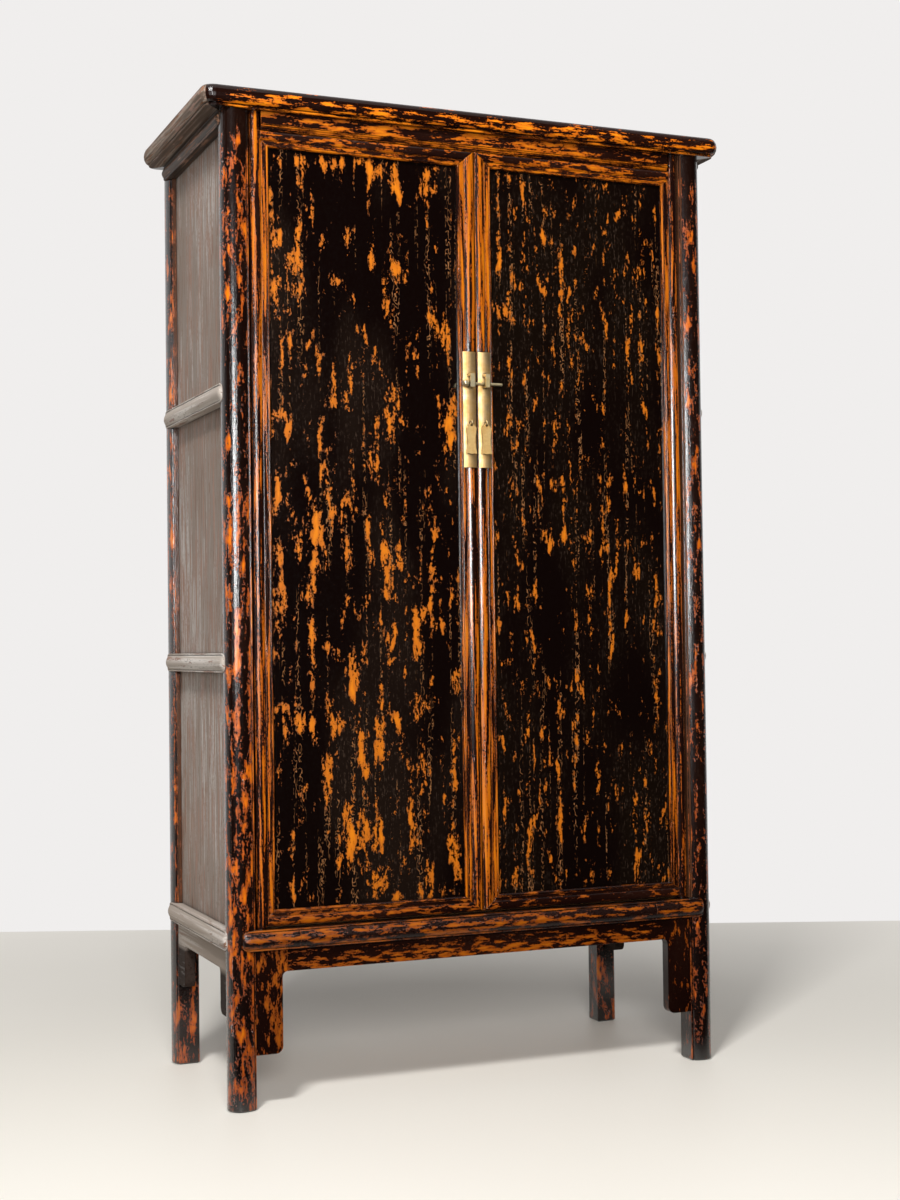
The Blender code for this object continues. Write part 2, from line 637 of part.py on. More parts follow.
def make_aprons():
    top = BOTTOM_RAIL_BOTTOM - FIT
    front = -HALF_Y + APRON_SETBACK
    wide = INNER_X - FIT
    inner = wide - BRACKET_WIDTH
    joint = inner - BRACKET_INNER_RADIUS
    low = (-joint + FIT / 2, front, APRON_BOTTOM)
    high = (joint - FIT / 2, front + APRON_THICKNESS, top)
    box("apron_front", low, high, RED_LACQUER)
    for side_name, side in SIDES.items():
        outline = bracket_outline(wide, inner, FRONT_BRACKET_DROP)
        outline += [(joint + FIT / 2, APRON_BOTTOM), (joint + FIT / 2, top), (wide, top)]
        outline = [(side * x, z) for x, z in outline]
        name = f"bracket_front_{side_name}"
        shade_round(prism(name, outline, 1, front, front + APRON_THICKNESS, RED_LACQUER))
    reach = INNER_Y - FIT
    half = bracket_outline(reach, reach - BRACKET_WIDTH, SIDE_BRACKET_DROP)
    outline = half + [(-y, z) for y, z in half][::-1] + [(-reach, top), (reach, top)]
    outer = HALF_X - APRON_SETBACK
    for side_name, side in SIDES.items():
        faces = sorted((side * outer, side * (outer - APRON_THICKNESS)))
        shade_round(prism(f"apron_{side_name}", outline, 0, *faces, RED_LACQUER))


def bracket_outline(outer, inner, drop):
    # From the foot of the bracket at the post, round its tip, up to the apron's lower edge.
    foot = APRON_BOTTOM - drop
    points = [(outer, foot)]
    tip = (inner + BRACKET_TIP_RADIUS, foot + BRACKET_TIP_RADIUS)
    points += arc(tip, BRACKET_TIP_RADIUS, 270, 180, CORNER_STEPS)
    fillet = (inner - BRACKET_INNER_RADIUS, APRON_BOTTOM - BRACKET_INNER_RADIUS)
    return points + arc(fillet, BRACKET_INNER_RADIUS, 0, 90, CORNER_STEPS)[:-1]


def top_ring(inset, height):
    radius = TOP_CORNER_RADIUS - inset * TOP_CORNER_TIGHTENING
    x = TOP_WIDTH / 2 - inset - radius
    y = TOP_DEPTH / 2 - inset - radius
    corners = [(x, y, 0), (-x, y, 90), (-x, -y, 180), (x, -y, 270)]
    points = []
    for cx, cy, first in corners:
        points += arc((cx, cy), radius, first, first + 90, CORNER_STEPS)
    return [Vector((px, py, height)) for px, py in points]


def top_edge_rings():
    # Lower fillet, then a bullnose up to the flat top.
    step = TOP_UNDERSIDE + TOP_FILLET_HEIGHT
    swell = TOP_FILLET_INSET - TOP_FILLET_SWELL
    rings = [top_ring(TOP_FILLET_INSET, TOP_UNDERSIDE), top_ring(swell, TOP_UNDERSIDE + TOP_FILLET_EDGE)]
    rings += [top_ring(swell, step - TOP_FILLET_EDGE), top_ring(TOP_FILLET_INSET, step)]
    half = (HEIGHT - step) / 2
    for turn in TOP_NOSE_TURNS:
        angle = math.radians(turn)
        inset = TOP_NOSE_DEPTH * (1 - math.cos(angle))
        rings.append(top_ring(inset, step + half + half * math.sin(angle)))
    return rings


def make_top():
    open_x = TOP_WIDTH / 2 - TOP_MEMBER_WIDTH
    open_y = TOP_DEPTH / 2 - TOP_MEMBER_WIDTH
    shift = MITRE_GAP / 2 * math.sqrt(2)
    past_x = TOP_WIDTH / 2 + OVERRUN
    past_y = TOP_DEPTH / 2 + OVERRUN
    long_half = [(open_x - shift, open_y), (past_x - shift, past_y)]
    short_half = [(open_x, open_y - shift), (past_x, past_y - shift)]
    wedges = {}
    for end_name, end in ENDS.items():
        right = [(x, end * y) for x, y in long_half]
        wedges[end_name] = right + [(-x, y) for x, y in right][::-1]
    for side_name, side in SIDES.items():
        back = [(side * x, y) for x, y in short_half]
        wedges[side_name] = back + [(x, -y) for x, y in back][::-1]
    panel_top = HEIGHT - TOP_PANEL_DROP
    panel_bottom = panel_top - TOP_PANEL_THICKNESS
    tongue_low = panel_bottom + TONGUE_LIFT
    tongue_high = tongue_low + TONGUE_THICKNESS
    reach_x = open_x + TONGUE
    reach_y = open_y + TONGUE
    for name, wedge in wedges.items():
        member = loft(f"top_frame_{name}", top_edge_rings(), LACQUER)
        shade_round(member)
        levels = (TOP_UNDERSIDE - OVERRUN, HEIGHT + OVERRUN)
        shape_with(member, prism(f"top_wedge_{name}", wedge, 2, *levels), "INTERSECT")
        low = (-reach_x, -reach_y, tongue_low - FIT)
        high = (reach_x, reach_y, tongue_high + FIT)
        shape_with(member, box(f"top_groove_{name}", low, high))
        if name == "front":
            for side_name, side in SIDES.items():
                hole = circle((side * PIVOT_X, PIVOT_Y), SOCKET_RADIUS, SOCKET_STEPS)
                levels = (TOP_UNDERSIDE - OVERRUN, TOP_UNDERSIDE + TOP_PIN_LENGTH + RUNNING_GAP)
                shape_with(member, prism(f"top_socket_{side_name}", hole, 2, *levels))
    rings = []
    levels = [(0, panel_bottom), (0, tongue_low), (TONGUE, tongue_low)]
    levels += [(TONGUE, tongue_high), (0, tongue_high), (0, panel_top)]
    for grow, height in levels:
        x = open_x - FIT + grow
        y = open_y - FIT + grow
        rings.append([Vector((px, py, height)) for px, py in ((-x, -y), (x, -y), (x, y), (-x, y))])
    loft("top_panel", rings, LACQUER)


# Doors

def door_region(name, side, points):
    outline = [(side * x, z) for x, z in points]
    return prism(name, outline, 1, DOOR_FRONT - OVERRUN, DOOR_BACK + OVERRUN)


def make_door_frame(side_name, side, axis):
    gap = MITRE_GAP / 2
    strip_x = DOOR_OUTER - PIVOT_STRIP
    flange_x = DOOR_OUTER - PIVOT_STILE_WIDTH
    mitre_x = DOOR_INNER + MEETING_STILE_WIDTH
    slope_p = (PIVOT_STILE_WIDTH - PIVOT_STRIP) / (DOOR_RAIL_WIDTH - RAIL_STRIP)
    slope_m = MEETING_STILE_WIDTH / DOOR_RAIL_WIDTH
    edges = {"bottom": (DOOR_BOTTOM, 1), "top": (DOOR_TOP, -1)}

    def stretch(depth, edge):
        level, inward = edges[edge]
        return level + inward * depth

    # Pivot stile: the round edge runs the full height, the inner flange is mitred.
    turned = arc((PIVOT_RADIUS, PIVOT_RADIUS), PIVOT_RADIUS, 90, 270, TURNED_STEPS)
    front = []
    for step in range(1, EDGE_STEPS + 1):
        across = PIVOT_RADIUS * step / EDGE_STEPS
        front.append((PIVOT_RADIUS + across, STRIP_FALL * (across / PIVOT_RADIUS) ** 2))
    outline = turned + front + member_inside(PIVOT_STILE_WIDTH, PIVOT_STRIP)
    outline = [(side * (DOOR_OUTER - u), DOOR_FRONT + d) for u, d in outline]
    name = f"{side_name}_door_pivot_stile"
    stile = prism(name, outline, 2, DOOR_BOTTOM - OVERRUN, DOOR_TOP + OVERRUN, LACQUER, axis)
    shade_round(stile)
    deep = DOOR_RAIL_WIDTH + OVERRUN / slope_p
    region = [(DOOR_OUTER + OVERRUN, DOOR_BOTTOM), (DOOR_OUTER + OVERRUN, DOOR_TOP)]
    region += [(strip_x + gap, DOOR_TOP), (strip_x + gap, stretch(RAIL_STRIP, "top"))]
    region += [(flange_x - OVERRUN + gap, stretch(deep, "top"))]
    region += [(flange_x - OVERRUN + gap, stretch(deep, "bottom"))]
    region += [(strip_x + gap, stretch(RAIL_STRIP, "bottom")), (strip_x + gap, DOOR_BOTTOM)]
    shape_with(stile, door_region(f"{side_name}_pivot_region", side, region), "INTERSECT")
    horns = {
        "top": (DOOR_TOP - RAIL_STRIP, UNDER_TOP - FIT, UNDER_TOP + TOP_PIN_LENGTH),
        "bottom": (DOOR_BOTTOM + RAIL_STRIP, BOTTOM_RAIL_TOP + FIT, BOTTOM_RAIL_TOP - BOTTOM_PIN_LENGTH),
    }
    for edge, (root, shoulder, tip) in horns.items():
        rings = []
        stops = [(HORN_RADIUS, root), (HORN_RADIUS, shoulder), (PIN_RADIUS, shoulder), (PIN_RADIUS, tip)]
        for radius, height in stops:
            ring = circle((side * PIVOT_X, PIVOT_Y), radius, SOCKET_STEPS)
            rings.append([Vector((x, y, height)) for x, y in ring])
        shape_with(stile, loft(f"{side_name}_horn_{edge}", rings), "UNION")

    # Meeting stile, mitred at both ends.
    outline = member_front(MEETING_STILE_WIDTH, STILE_STRIP) + [(0, DOOR_THICKNESS)]
    outline = [(side * (DOOR_INNER + u), DOOR_FRONT + d) for u, d in outline]
    name = f"{side_name}_door_meeting_stile"
    meeting = prism(name, outline, 2, DOOR_BOTTOM - OVERRUN, DOOR_TOP + OVERRUN, LACQUER, axis)
    shade_round(meeting)
    region = []
    for edge in ("bottom", "top"):
        near = (DOOR_INNER - gap - OVERRUN, stretch(-OVERRUN / slope_m, edge))
        far = (mitre_x - gap + OVERRUN, stretch(DOOR_RAIL_WIDTH + OVERRUN / slope_m, edge))
        region += [near, far] if edge == "bottom" else [far, near]
    shape_with(meeting, door_region(f"{side_name}_meeting_region", side, region), "INTERSECT")

    # Top and bottom rails.
    for edge in ("top", "bottom"):
        level, inward = edges[edge]
        outline = member_front(DOOR_RAIL_WIDTH, RAIL_STRIP) + [(0, DOOR_THICKNESS)]
        outline = [(DOOR_FRONT + d, level + inward * u) for u, d in outline]
        ends = sorted((side * (DOOR_INNER - OVERRUN), side * (DOOR_OUTER + OVERRUN)))
        rail = prism(f"{side_name}_door_{edge}_rail", outline, 0, *ends, LACQUER, axis)
        shade_round(rail)
        deep = stretch(DOOR_RAIL_WIDTH + OVERRUN, edge)
        outside = stretch(-OVERRUN, edge)
        region = [(DOOR_INNER + gap - OVERRUN * slope_m, outside), (strip_x - gap, outside)]
        region += [(strip_x - gap, stretch(RAIL_STRIP, edge))]
        region += [(flange_x - OVERRUN * slope_p - gap, deep)]
        region += [(mitre_x + OVERRUN * slope_m + gap, deep)]
        shape_with(rail, door_region(f"{side_name}_{edge}_rail_region", side, region), "INTERSECT")

    # Floating panel.
    held = DOOR_PANEL_GROOVE - FIT
    across = sorted((side * (mitre_x - held), side * (flange_x + held)))
    low = (across[0], DOOR_PANEL_FACE, stretch(DOOR_RAIL_WIDTH - held, "bottom"))
    high = (across[1], DOOR_PANEL_FACE + DOOR_PANEL_THICKNESS, stretch(DOOR_RAIL_WIDTH - held, "top"))
    box(f"{side_name}_door_panel", low, high, LACQUER, axis)
    return meeting


# Brass fittings

def make_plate(side_name, side, axis):
    half = PLATE_WIDTH / 2
    front = []
    back = []
    for step in range(STRIP_STEPS + 1):
        across = -half + PLATE_WIDTH * step / STRIP_STEPS
        fall = across ** 2 / (2 * PLATE_RADIUS)
        front.append((side * (PLATE_CENTRE_X + across), PLATE_FRONT + fall))
        back.append((side * (PLATE_CENTRE_X + across), PLATE_BACK + fall))
    outline = front + back[::-1]
    plate = prism(f"{side_name}_lock_plate", outline, 2, PLATE_BOTTOM, PLATE_TOP, BRASS, axis)
    shade_round(plate)
    return plate


def make_staple(side_name, side, axis, drilled):
    half = STAPLE_HEIGHT / 2
    root = PLATE_BACK + STAPLE_ROOT
    hollow = half - STAPLE_BAR
    middle = side * PLATE_CENTRE_X
    places = (middle - STAPLE_WIDTH / 2, middle + STAPLE_WIDTH / 2)
    outside = [(root, half), (STAPLE_FRONT, half), (STAPLE_FRONT, -half), (root, -half)]
    inside = [(root, -hollow), (STAPLE_INSIDE, -hollow), (STAPLE_INSIDE, hollow), (root, hollow)]
    outline = [(y, STAPLE_CENTRE + z) for y, z in outside + inside]
    prism(f"{side_name}_staple", outline, 0, *places, BRASS, axis)
    for leg in (-1, 1):
        levels = sorted((leg * half, leg * hollow))
        low = (places[0] - FIT, STAPLE_INSIDE, STAPLE_CENTRE + levels[0] - FIT)
        high = (places[1] + FIT, root + FIT, STAPLE_CENTRE + levels[1] + FIT)
        hole = box(f"{side_name}_staple_hole_{leg + 1}", low, high)
        for thing in drilled:
            shape_with(thing, hole)


def torus_mesh(name, centre, radius, wire, material, parent):
    # Ring in the YZ plane.
    grid = bmesh.new()
    rows = []
    for step in range(RING_STEPS):
        turn = 2 * math.pi * step / RING_STEPS
        row = []
        for part in range(WIRE_STEPS):
            angle = 2 * math.pi * part / WIRE_STEPS
            reach = radius + wire * math.cos(angle)
            point = (wire * math.sin(angle), reach * math.cos(turn), reach * math.sin(turn))
            row.append(grid.verts.new(Vector(centre) + Vector(point)))
        rows.append(row)
    for step in range(RING_STEPS):
        here = rows[step]
        after = rows[(step + 1) % RING_STEPS]
        for part in range(WIRE_STEPS):
            beside = (part + 1) % WIRE_STEPS
            grid.faces.new((here[part], here[beside], after[beside], after[part]))
    bmesh.ops.recalc_face_normals(grid, faces=grid.faces)
    mesh = bpy.data.meshes.new(name)
    grid.to_mesh(mesh)
    grid.free()
    return add_object(name, mesh, material, parent)


def make_pull(side_name, side, axis, drilled):
    centre = (side * PLATE_CENTRE_X, EYE_Y, EYE_CENTRE)
    eye = torus_mesh(f"{side_name}_pull_eye", centre, EYE_RADIUS, EYE_WIRE, BRASS, axis)
    shade_round(eye)
    shank_front = EYE_Y + EYE_RADIUS
    shank_back = shank_front + EYE_SHANK_LENGTH
    shank = circle((centre[0], EYE_CENTRE), EYE_SHANK_RADIUS, WIRE_STEPS)
    shape_with(eye, prism(f"{side_name}_eye_shank", shank, 1, shank_front, shank_back), "UNION")
    hole = circle((centre[0], EYE_CENTRE), EYE_WIRE + 2 * FIT, PIN_STEPS)
    hole = prism(f"{side_name}_eye_hole", hole, 1, PLATE_FRONT - OVERRUN, shank_back + FIT)
    for thing in drilled:
        shape_with(thing, hole)

    swing = axis_empty(f"{side_name}_pull_axis", centre)
    top = PULL_HOLE_Z + PULL_NECK
    foot = top - PULL_LENGTH
    shoulder = top - PULL_ROOF
    half = [(0, top), (PULL_SHOULDER_WIDTH / 2, shoulder)]
    waist_depth = (PULL_SHOULDER_WIDTH - PULL_WAIST_WIDTH) / 2
    flare_width = (PULL_FOOT_WIDTH - PULL_SHOULDER_WIDTH) / 2
    for step in range(1, STRIP_STEPS + 1):
        share = step / STRIP_STEPS
        waist = waist_depth * math.sin(math.pi * share) ** PULL_WAIST_POWER
        flare = flare_width * share ** PULL_FLARE_POWER
        half.append((PULL_SHOULDER_WIDTH / 2 - waist + flare, shoulder + (foot - shoulder) * share))
    half += [(PULL_FOOT_WIDTH * x, foot + PULL_SCALLOP * lift) for x, lift in PULL_FOOT_SHAPE]
    outline = half + [(-x, z) for x, z in half[1:]][::-1]
    outline = [(centre[0] + x, z) for x, z in outline]
    faces = (EYE_Y - PULL_THICKNESS / 2, EYE_Y + PULL_THICKNESS / 2)
    pull = prism(f"{side_name}_pull", outline, 1, *faces, BRASS, swing)
    hole = circle((centre[0], PULL_HOLE_Z), PULL_HOLE_RADIUS, PIN_STEPS)
    shape_with(pull, prism(f"{side_name}_pull_hole", hole, 1, EYE_Y - OVERRUN, EYE_Y + OVERRUN))


def make_lock_pin():
    staple_face = -(PLATE_CENTRE_X + STAPLE_WIDTH / 2)
    collar = staple_face - LOCK_PIN_HEAD_GAP
    end = collar - LOCK_PIN_HEAD_LENGTH
    slide = axis_empty("lock_pin_axis", (collar, LOCK_PIN_Y, LOCK_PIN_Z))
    profile = []
    for along, share in PIN_HEAD_SHAPE:
        profile.append((end + LOCK_PIN_HEAD_LENGTH * along, LOCK_PIN_HEAD_RADIUS * share))
    profile += [(collar, LOCK_PIN_RADIUS), (LOCK_PIN_TIP - LOCK_PIN_POINT, LOCK_PIN_RADIUS)]
    profile.append((LOCK_PIN_TIP, LOCK_PIN_RADIUS * LOCK_PIN_POINT_SHARE))
    rings = []
    for along, radius in profile:
        ring = circle((LOCK_PIN_Y, LOCK_PIN_Z), radius, PIN_STEPS)
        rings.append([Vector((along, y, z)) for y, z in ring])
    shade_round(loft("lock_pin", rings, BRASS, slide))


def main():
    posts = make_posts()
    make_side_rails(posts)
    make_side_panels(posts)
    make_back(posts)
    make_boards()
    make_header()
    make_front_rail(posts)
    make_aprons()
    make_top()
    for side_name, side in SIDES.items():
        axis = axis_empty(f"{side_name}_door_axis", (side * PIVOT_X, PIVOT_Y, DOOR_BOTTOM))
        meeting = make_door_frame(side_name, side, axis)
        plate = make_plate(side_name, side, axis)
        make_staple(side_name, side, axis, (plate, meeting))
        make_pull(side_name, side, axis, (plate, meeting))
    make_lock_pin()


main()
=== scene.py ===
import math
import bpy
from mathutils import Matrix, Vector

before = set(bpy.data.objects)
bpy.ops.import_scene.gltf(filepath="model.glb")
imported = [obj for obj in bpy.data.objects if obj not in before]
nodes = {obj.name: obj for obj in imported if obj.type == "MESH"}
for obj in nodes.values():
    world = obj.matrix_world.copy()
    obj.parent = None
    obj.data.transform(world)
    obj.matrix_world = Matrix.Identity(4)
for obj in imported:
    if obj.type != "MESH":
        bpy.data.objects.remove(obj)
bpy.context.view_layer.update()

print("frame loaded:", len(nodes), "nodes")


# Small helpers

def linear(hexColour):
    # sRGB hex to the linear colour that Blender works in
    parts = [int(hexColour[i:i + 2], 16) / 255 for i in (1, 3, 5)]
    return tuple(c / 12.92 if c <= 0.04045 else ((c + 0.055) / 1.055) ** 2.4 for c in parts) + (1.0,)


def addNode(tree, kind, inputs=None, **settings):
    # one shader node with its settings; an input is a value, a socket, or a node to link from
    node = tree.nodes.new(kind)
    for name, value in settings.items():
        setattr(node, name, value)
    inUse = [socket for socket in node.inputs if socket.enabled]
    for key, value in (inputs or {}).items():
        socket = inUse[key] if isinstance(key, int) else next(s for s in inUse if s.name == key)
        if isinstance(value, bpy.types.Node):
            value = next(output for output in value.outputs if output.enabled)
        if isinstance(value, bpy.types.NodeSocket):
            tree.links.new(value, socket)
        else:
            socket.default_value = value
    return node


def span(side, ends):
    # the two inputs of a range, From or To
    return {side + " Min": ends[0], side + " Max": ends[1]}


def perMetre(grain, across, along):
    # texture scale from a real size in mm, long way along the grain axis
    scale = [1000 / across] * 3
    scale["XYZ".index(grain)] = 1000 / along
    return scale


def startMaterial(name):
    material = bpy.data.materials.new(name)
    material.use_nodes = True
    material.node_tree.nodes.clear()
    return material, material.node_tree


def piecesNamed(start="", end=""):
    return [name for name in nodes if name.startswith(start) and name.endswith(end)]


def dress(material, *names):
    for name in names:
        for slot in nodes[name].material_slots:
            slot.material = material


# Camera, fitted to the corners seen in the photograph

cameraView = {
    "place": (-1.388, -3.435, 0.848),
    "yaw": 22.48,               # degrees
    "pitch": 1.46,
    "roll": -0.72,
    "focalPixels": 1796,
    "longSidePixels": 1200,
    "sensor": 36.0,             # mm
}


def groundAxes(look):
    # level directions, away from the camera and to its right
    yaw = math.radians(look["yaw"])
    return Vector((math.sin(yaw), math.cos(yaw), 0)), Vector((math.cos(yaw), -math.sin(yaw), 0))


def placeCamera(look):
    pitch = math.radians(look["pitch"])
    roll = math.radians(look["roll"])
    level, right = groundAxes(look)
    ahead = level * math.cos(pitch) + Vector((0, 0, math.sin(pitch)))
    up = right.cross(ahead)
    rightTurned = right * math.cos(roll) + up * math.sin(roll)
    upTurned = up * math.cos(roll) - right * math.sin(roll)
    data = bpy.data.cameras.new("camera")
    data.sensor_width = look["sensor"]
    data.lens = look["focalPixels"] / look["longSidePixels"] * look["sensor"]
    camera = bpy.data.objects.new("camera", data)
    bpy.context.scene.collection.objects.link(camera)
    turn = Matrix((rightTurned, upTurned, -ahead)).transposed().to_4x4()
    camera.matrix_world = Matrix.Translation(look["place"]) @ turn
    bpy.context.scene.camera = camera


placeCamera(cameraView)
print("camera placed")


# Lamps: a high soft key on the left, and behind the camera a wide dim window with one bright pane

lamps = {                       # places, aims and sizes in metres
    "ceilingLight": {
        "place": (-2.2, -3.0, 4.6),
        "aim": (-0.2, -0.5, 0.4),
        "size": (0.8, 0.8),
        "watts": 215,
    },
    "windowLight": {
        "place": (-1.4, -4.1, 1.5),
        "aim": (0.0, -0.1, 1.5),
        "size": (2.6, 1.3),
        "watts": 30,
    },
    "brightPane": {
        "place": (-1.4, -4.05, 1.5),
        "aim": (0.0, -0.1, 1.5),
        "size": (0.8, 1.1),
        "watts": 108,
    },
}


def addLamp(name, lamp):
    data = bpy.data.lights.new(name, "AREA")
    data.shape = "RECTANGLE"
    data.size, data.size_y = lamp["size"]
    data.energy = lamp["watts"]
    light = bpy.data.objects.new(name, data)
    bpy.context.scene.collection.objects.link(light)
    light.visible_camera = False      # views from behind look towards it
    light.location = lamp["place"]
    way = Vector(lamp["aim"]) - Vector(lamp["place"])
    light.rotation_euler = way.to_track_quat("-Z", "Y").to_euler()


# World: pale to look at and in reflections, dim on the camera's side of the room

room = {
    "ambient": 0.16,            # light that it gives the object
    "backdrop": "#f0eeed",      # what the camera and reflections see behind the object
    "dim": 0.012,               # strength of the dim side, in reflections
    "dimFacing": (0.5, -0.1),   # Y of a reflection's direction over which the room turns dim
    "dimLevel": (0.92, 0.72),   # Z of it over which that begins, so straight overhead stays pale
}


def paintWorld(look):
    world = bpy.data.worlds.new("studio")
    bpy.context.scene.world = world
    world.use_nodes = True
    tree = world.node_tree
    tree.nodes.clear()
    rays = addNode(tree, "ShaderNodeLightPath").outputs
    seen = addNode(tree, "ShaderNodeMath", {0: rays["Is Camera Ray"], 1: rays["Is Glossy Ray"]},
                   operation="MAXIMUM")
    seen = addNode(tree, "ShaderNodeMath", {0: seen, 1: rays["Is Transmission Ray"]}, operation="MAXIMUM")
    way = addNode(tree, "ShaderNodeTexCoord").outputs["Generated"]
    way = addNode(tree, "ShaderNodeSeparateXYZ", {"Vector": way}).outputs
    facing = addNode(tree, "ShaderNodeMapRange", {"Value": way["Y"], **span("From", look["dimFacing"])},
                     interpolation_type="SMOOTHSTEP")
    level = addNode(tree, "ShaderNodeMapRange", {"Value": way["Z"], **span("From", look["dimLevel"])},
                    interpolation_type="SMOOTHSTEP")
    dim = addNode(tree, "ShaderNodeMath", {0: facing, 1: level}, operation="MULTIPLY")
    unseen = addNode(tree, "ShaderNodeMath", {0: 1.0, 1: rays["Is Camera Ray"]}, operation="SUBTRACT")
    dim = addNode(tree, "ShaderNodeMath", {0: dim, 1: unseen}, operation="MULTIPLY")
    shown = addNode(tree, "ShaderNodeMapRange", {"Value": dim, **span("To", (1.0, look["dim"]))})
    strength = addNode(tree, "ShaderNodeMapRange", {"Value": seen, **span("To", (look["ambient"], shown))})
    pale = addNode(tree, "ShaderNodeBackground", {"Color": linear(look["backdrop"]), "Strength": strength})
    addNode(tree, "ShaderNodeOutputWorld", {"Surface": pale})


# Painted concrete floor: pale, dull satin with faint clouds in its sheen

floorPaint = {
    "colour": "#f7f2e8",
    "far": "#efebe4",           # what the camera sees of it far from the object, unshaded
    "farReach": (0.8, 3.2),     # metres from the object's middle over which that takes over
    "dim": (-0.26, -0.42),      # Y in metres over which it turns dark in reflections, as the room does
    "cloud": 769,               # mm
    "cloudRange": (0.3, 0.7),
    "gloss": (0.5, 0.62),       # roughness
    "front": -14.0,             # metres from the object along the camera's way, and to both sides
    "back": 1.75,
    "side": 16.0,
}


def layFloor(look):
    material, tree = startMaterial("paintedConcreteFloor")
    place = addNode(tree, "ShaderNodeTexCoord").outputs["Object"]
    cloud = addNode(tree, "ShaderNodeTexNoise",
                    {"Vector": place, "Scale": 1000 / look["cloud"], "Detail": 4.0})
    rough = addNode(tree, "ShaderNodeMapRange",
                    {"Value": cloud, **span("From", look["cloudRange"]), **span("To", look["gloss"])})
    paint = addNode(tree, "ShaderNodeBsdfPrincipled",
                    {"Base Color": linear(look["colour"]), "Roughness": rough})
    # far away the camera sees it without shade; the object's shadow is near
    rays = addNode(tree, "ShaderNodeLightPath").outputs
    away = addNode(tree, "ShaderNodeVectorMath", {0: place}, operation="LENGTH")
    far = addNode(tree, "ShaderNodeMapRange", {"Value": away, **span("From", look["farReach"])})
    far = addNode(tree, "ShaderNodeMath", {0: rays["Is Camera Ray"], 1: far}, operation="MULTIPLY")
    glow = addNode(tree, "ShaderNodeEmission", {"Color": linear(look["far"])})
    mixed = addNode(tree, "ShaderNodeMixShader", {0: far, 1: paint, 2: glow})
    # in front of the object it is pale to look at and dark in reflections
    across = addNode(tree, "ShaderNodeSeparateXYZ", {"Vector": place}).outputs["Y"]
    near = addNode(tree, "ShaderNodeMapRange", {"Value": across, **span("From", look["dim"])})
    unseen = addNode(tree, "ShaderNodeMath", {0: 1.0, 1: rays["Is Camera Ray"]}, operation="SUBTRACT")
    near = addNode(tree, "ShaderNodeMath", {0: near, 1: unseen}, operation="MULTIPLY")
    shade = addNode(tree, "ShaderNodeEmission", {"Color": linear(look["colour"]), "Strength": room["dim"]})
    mixed = addNode(tree, "ShaderNodeMixShader", {0: near, 1: mixed, 2: shade})
    addNode(tree, "ShaderNodeOutputMaterial", {"Surface": mixed})
    ahead, right = groundAxes(cameraView)
    front, back, side = look["front"], look["back"], look["side"]
    corners = [ahead * along + right * sideways
               for along, sideways in ((front, -side), (front, side), (back, side), (back, -side))]
    mesh = bpy.data.meshes.new("floor")
    mesh.from_pydata(corners, [], [(0, 1, 2, 3)])
    mesh.materials.append(material)
    floor = bpy.data.objects.new("floor", mesh)
    bpy.context.scene.collection.objects.link(floor)


for lampName, lamp in lamps.items():
    addLamp(lampName, lamp)
paintWorld(room)
layFloor(floorPaint)
print("studio lit")


# Rubbed lacquer: black top coat polished by hand over an orange ground on wood.
# Gives the eye near-black gloss, ragged orange chips in trails along the grain, lacy edges, worn arrises.

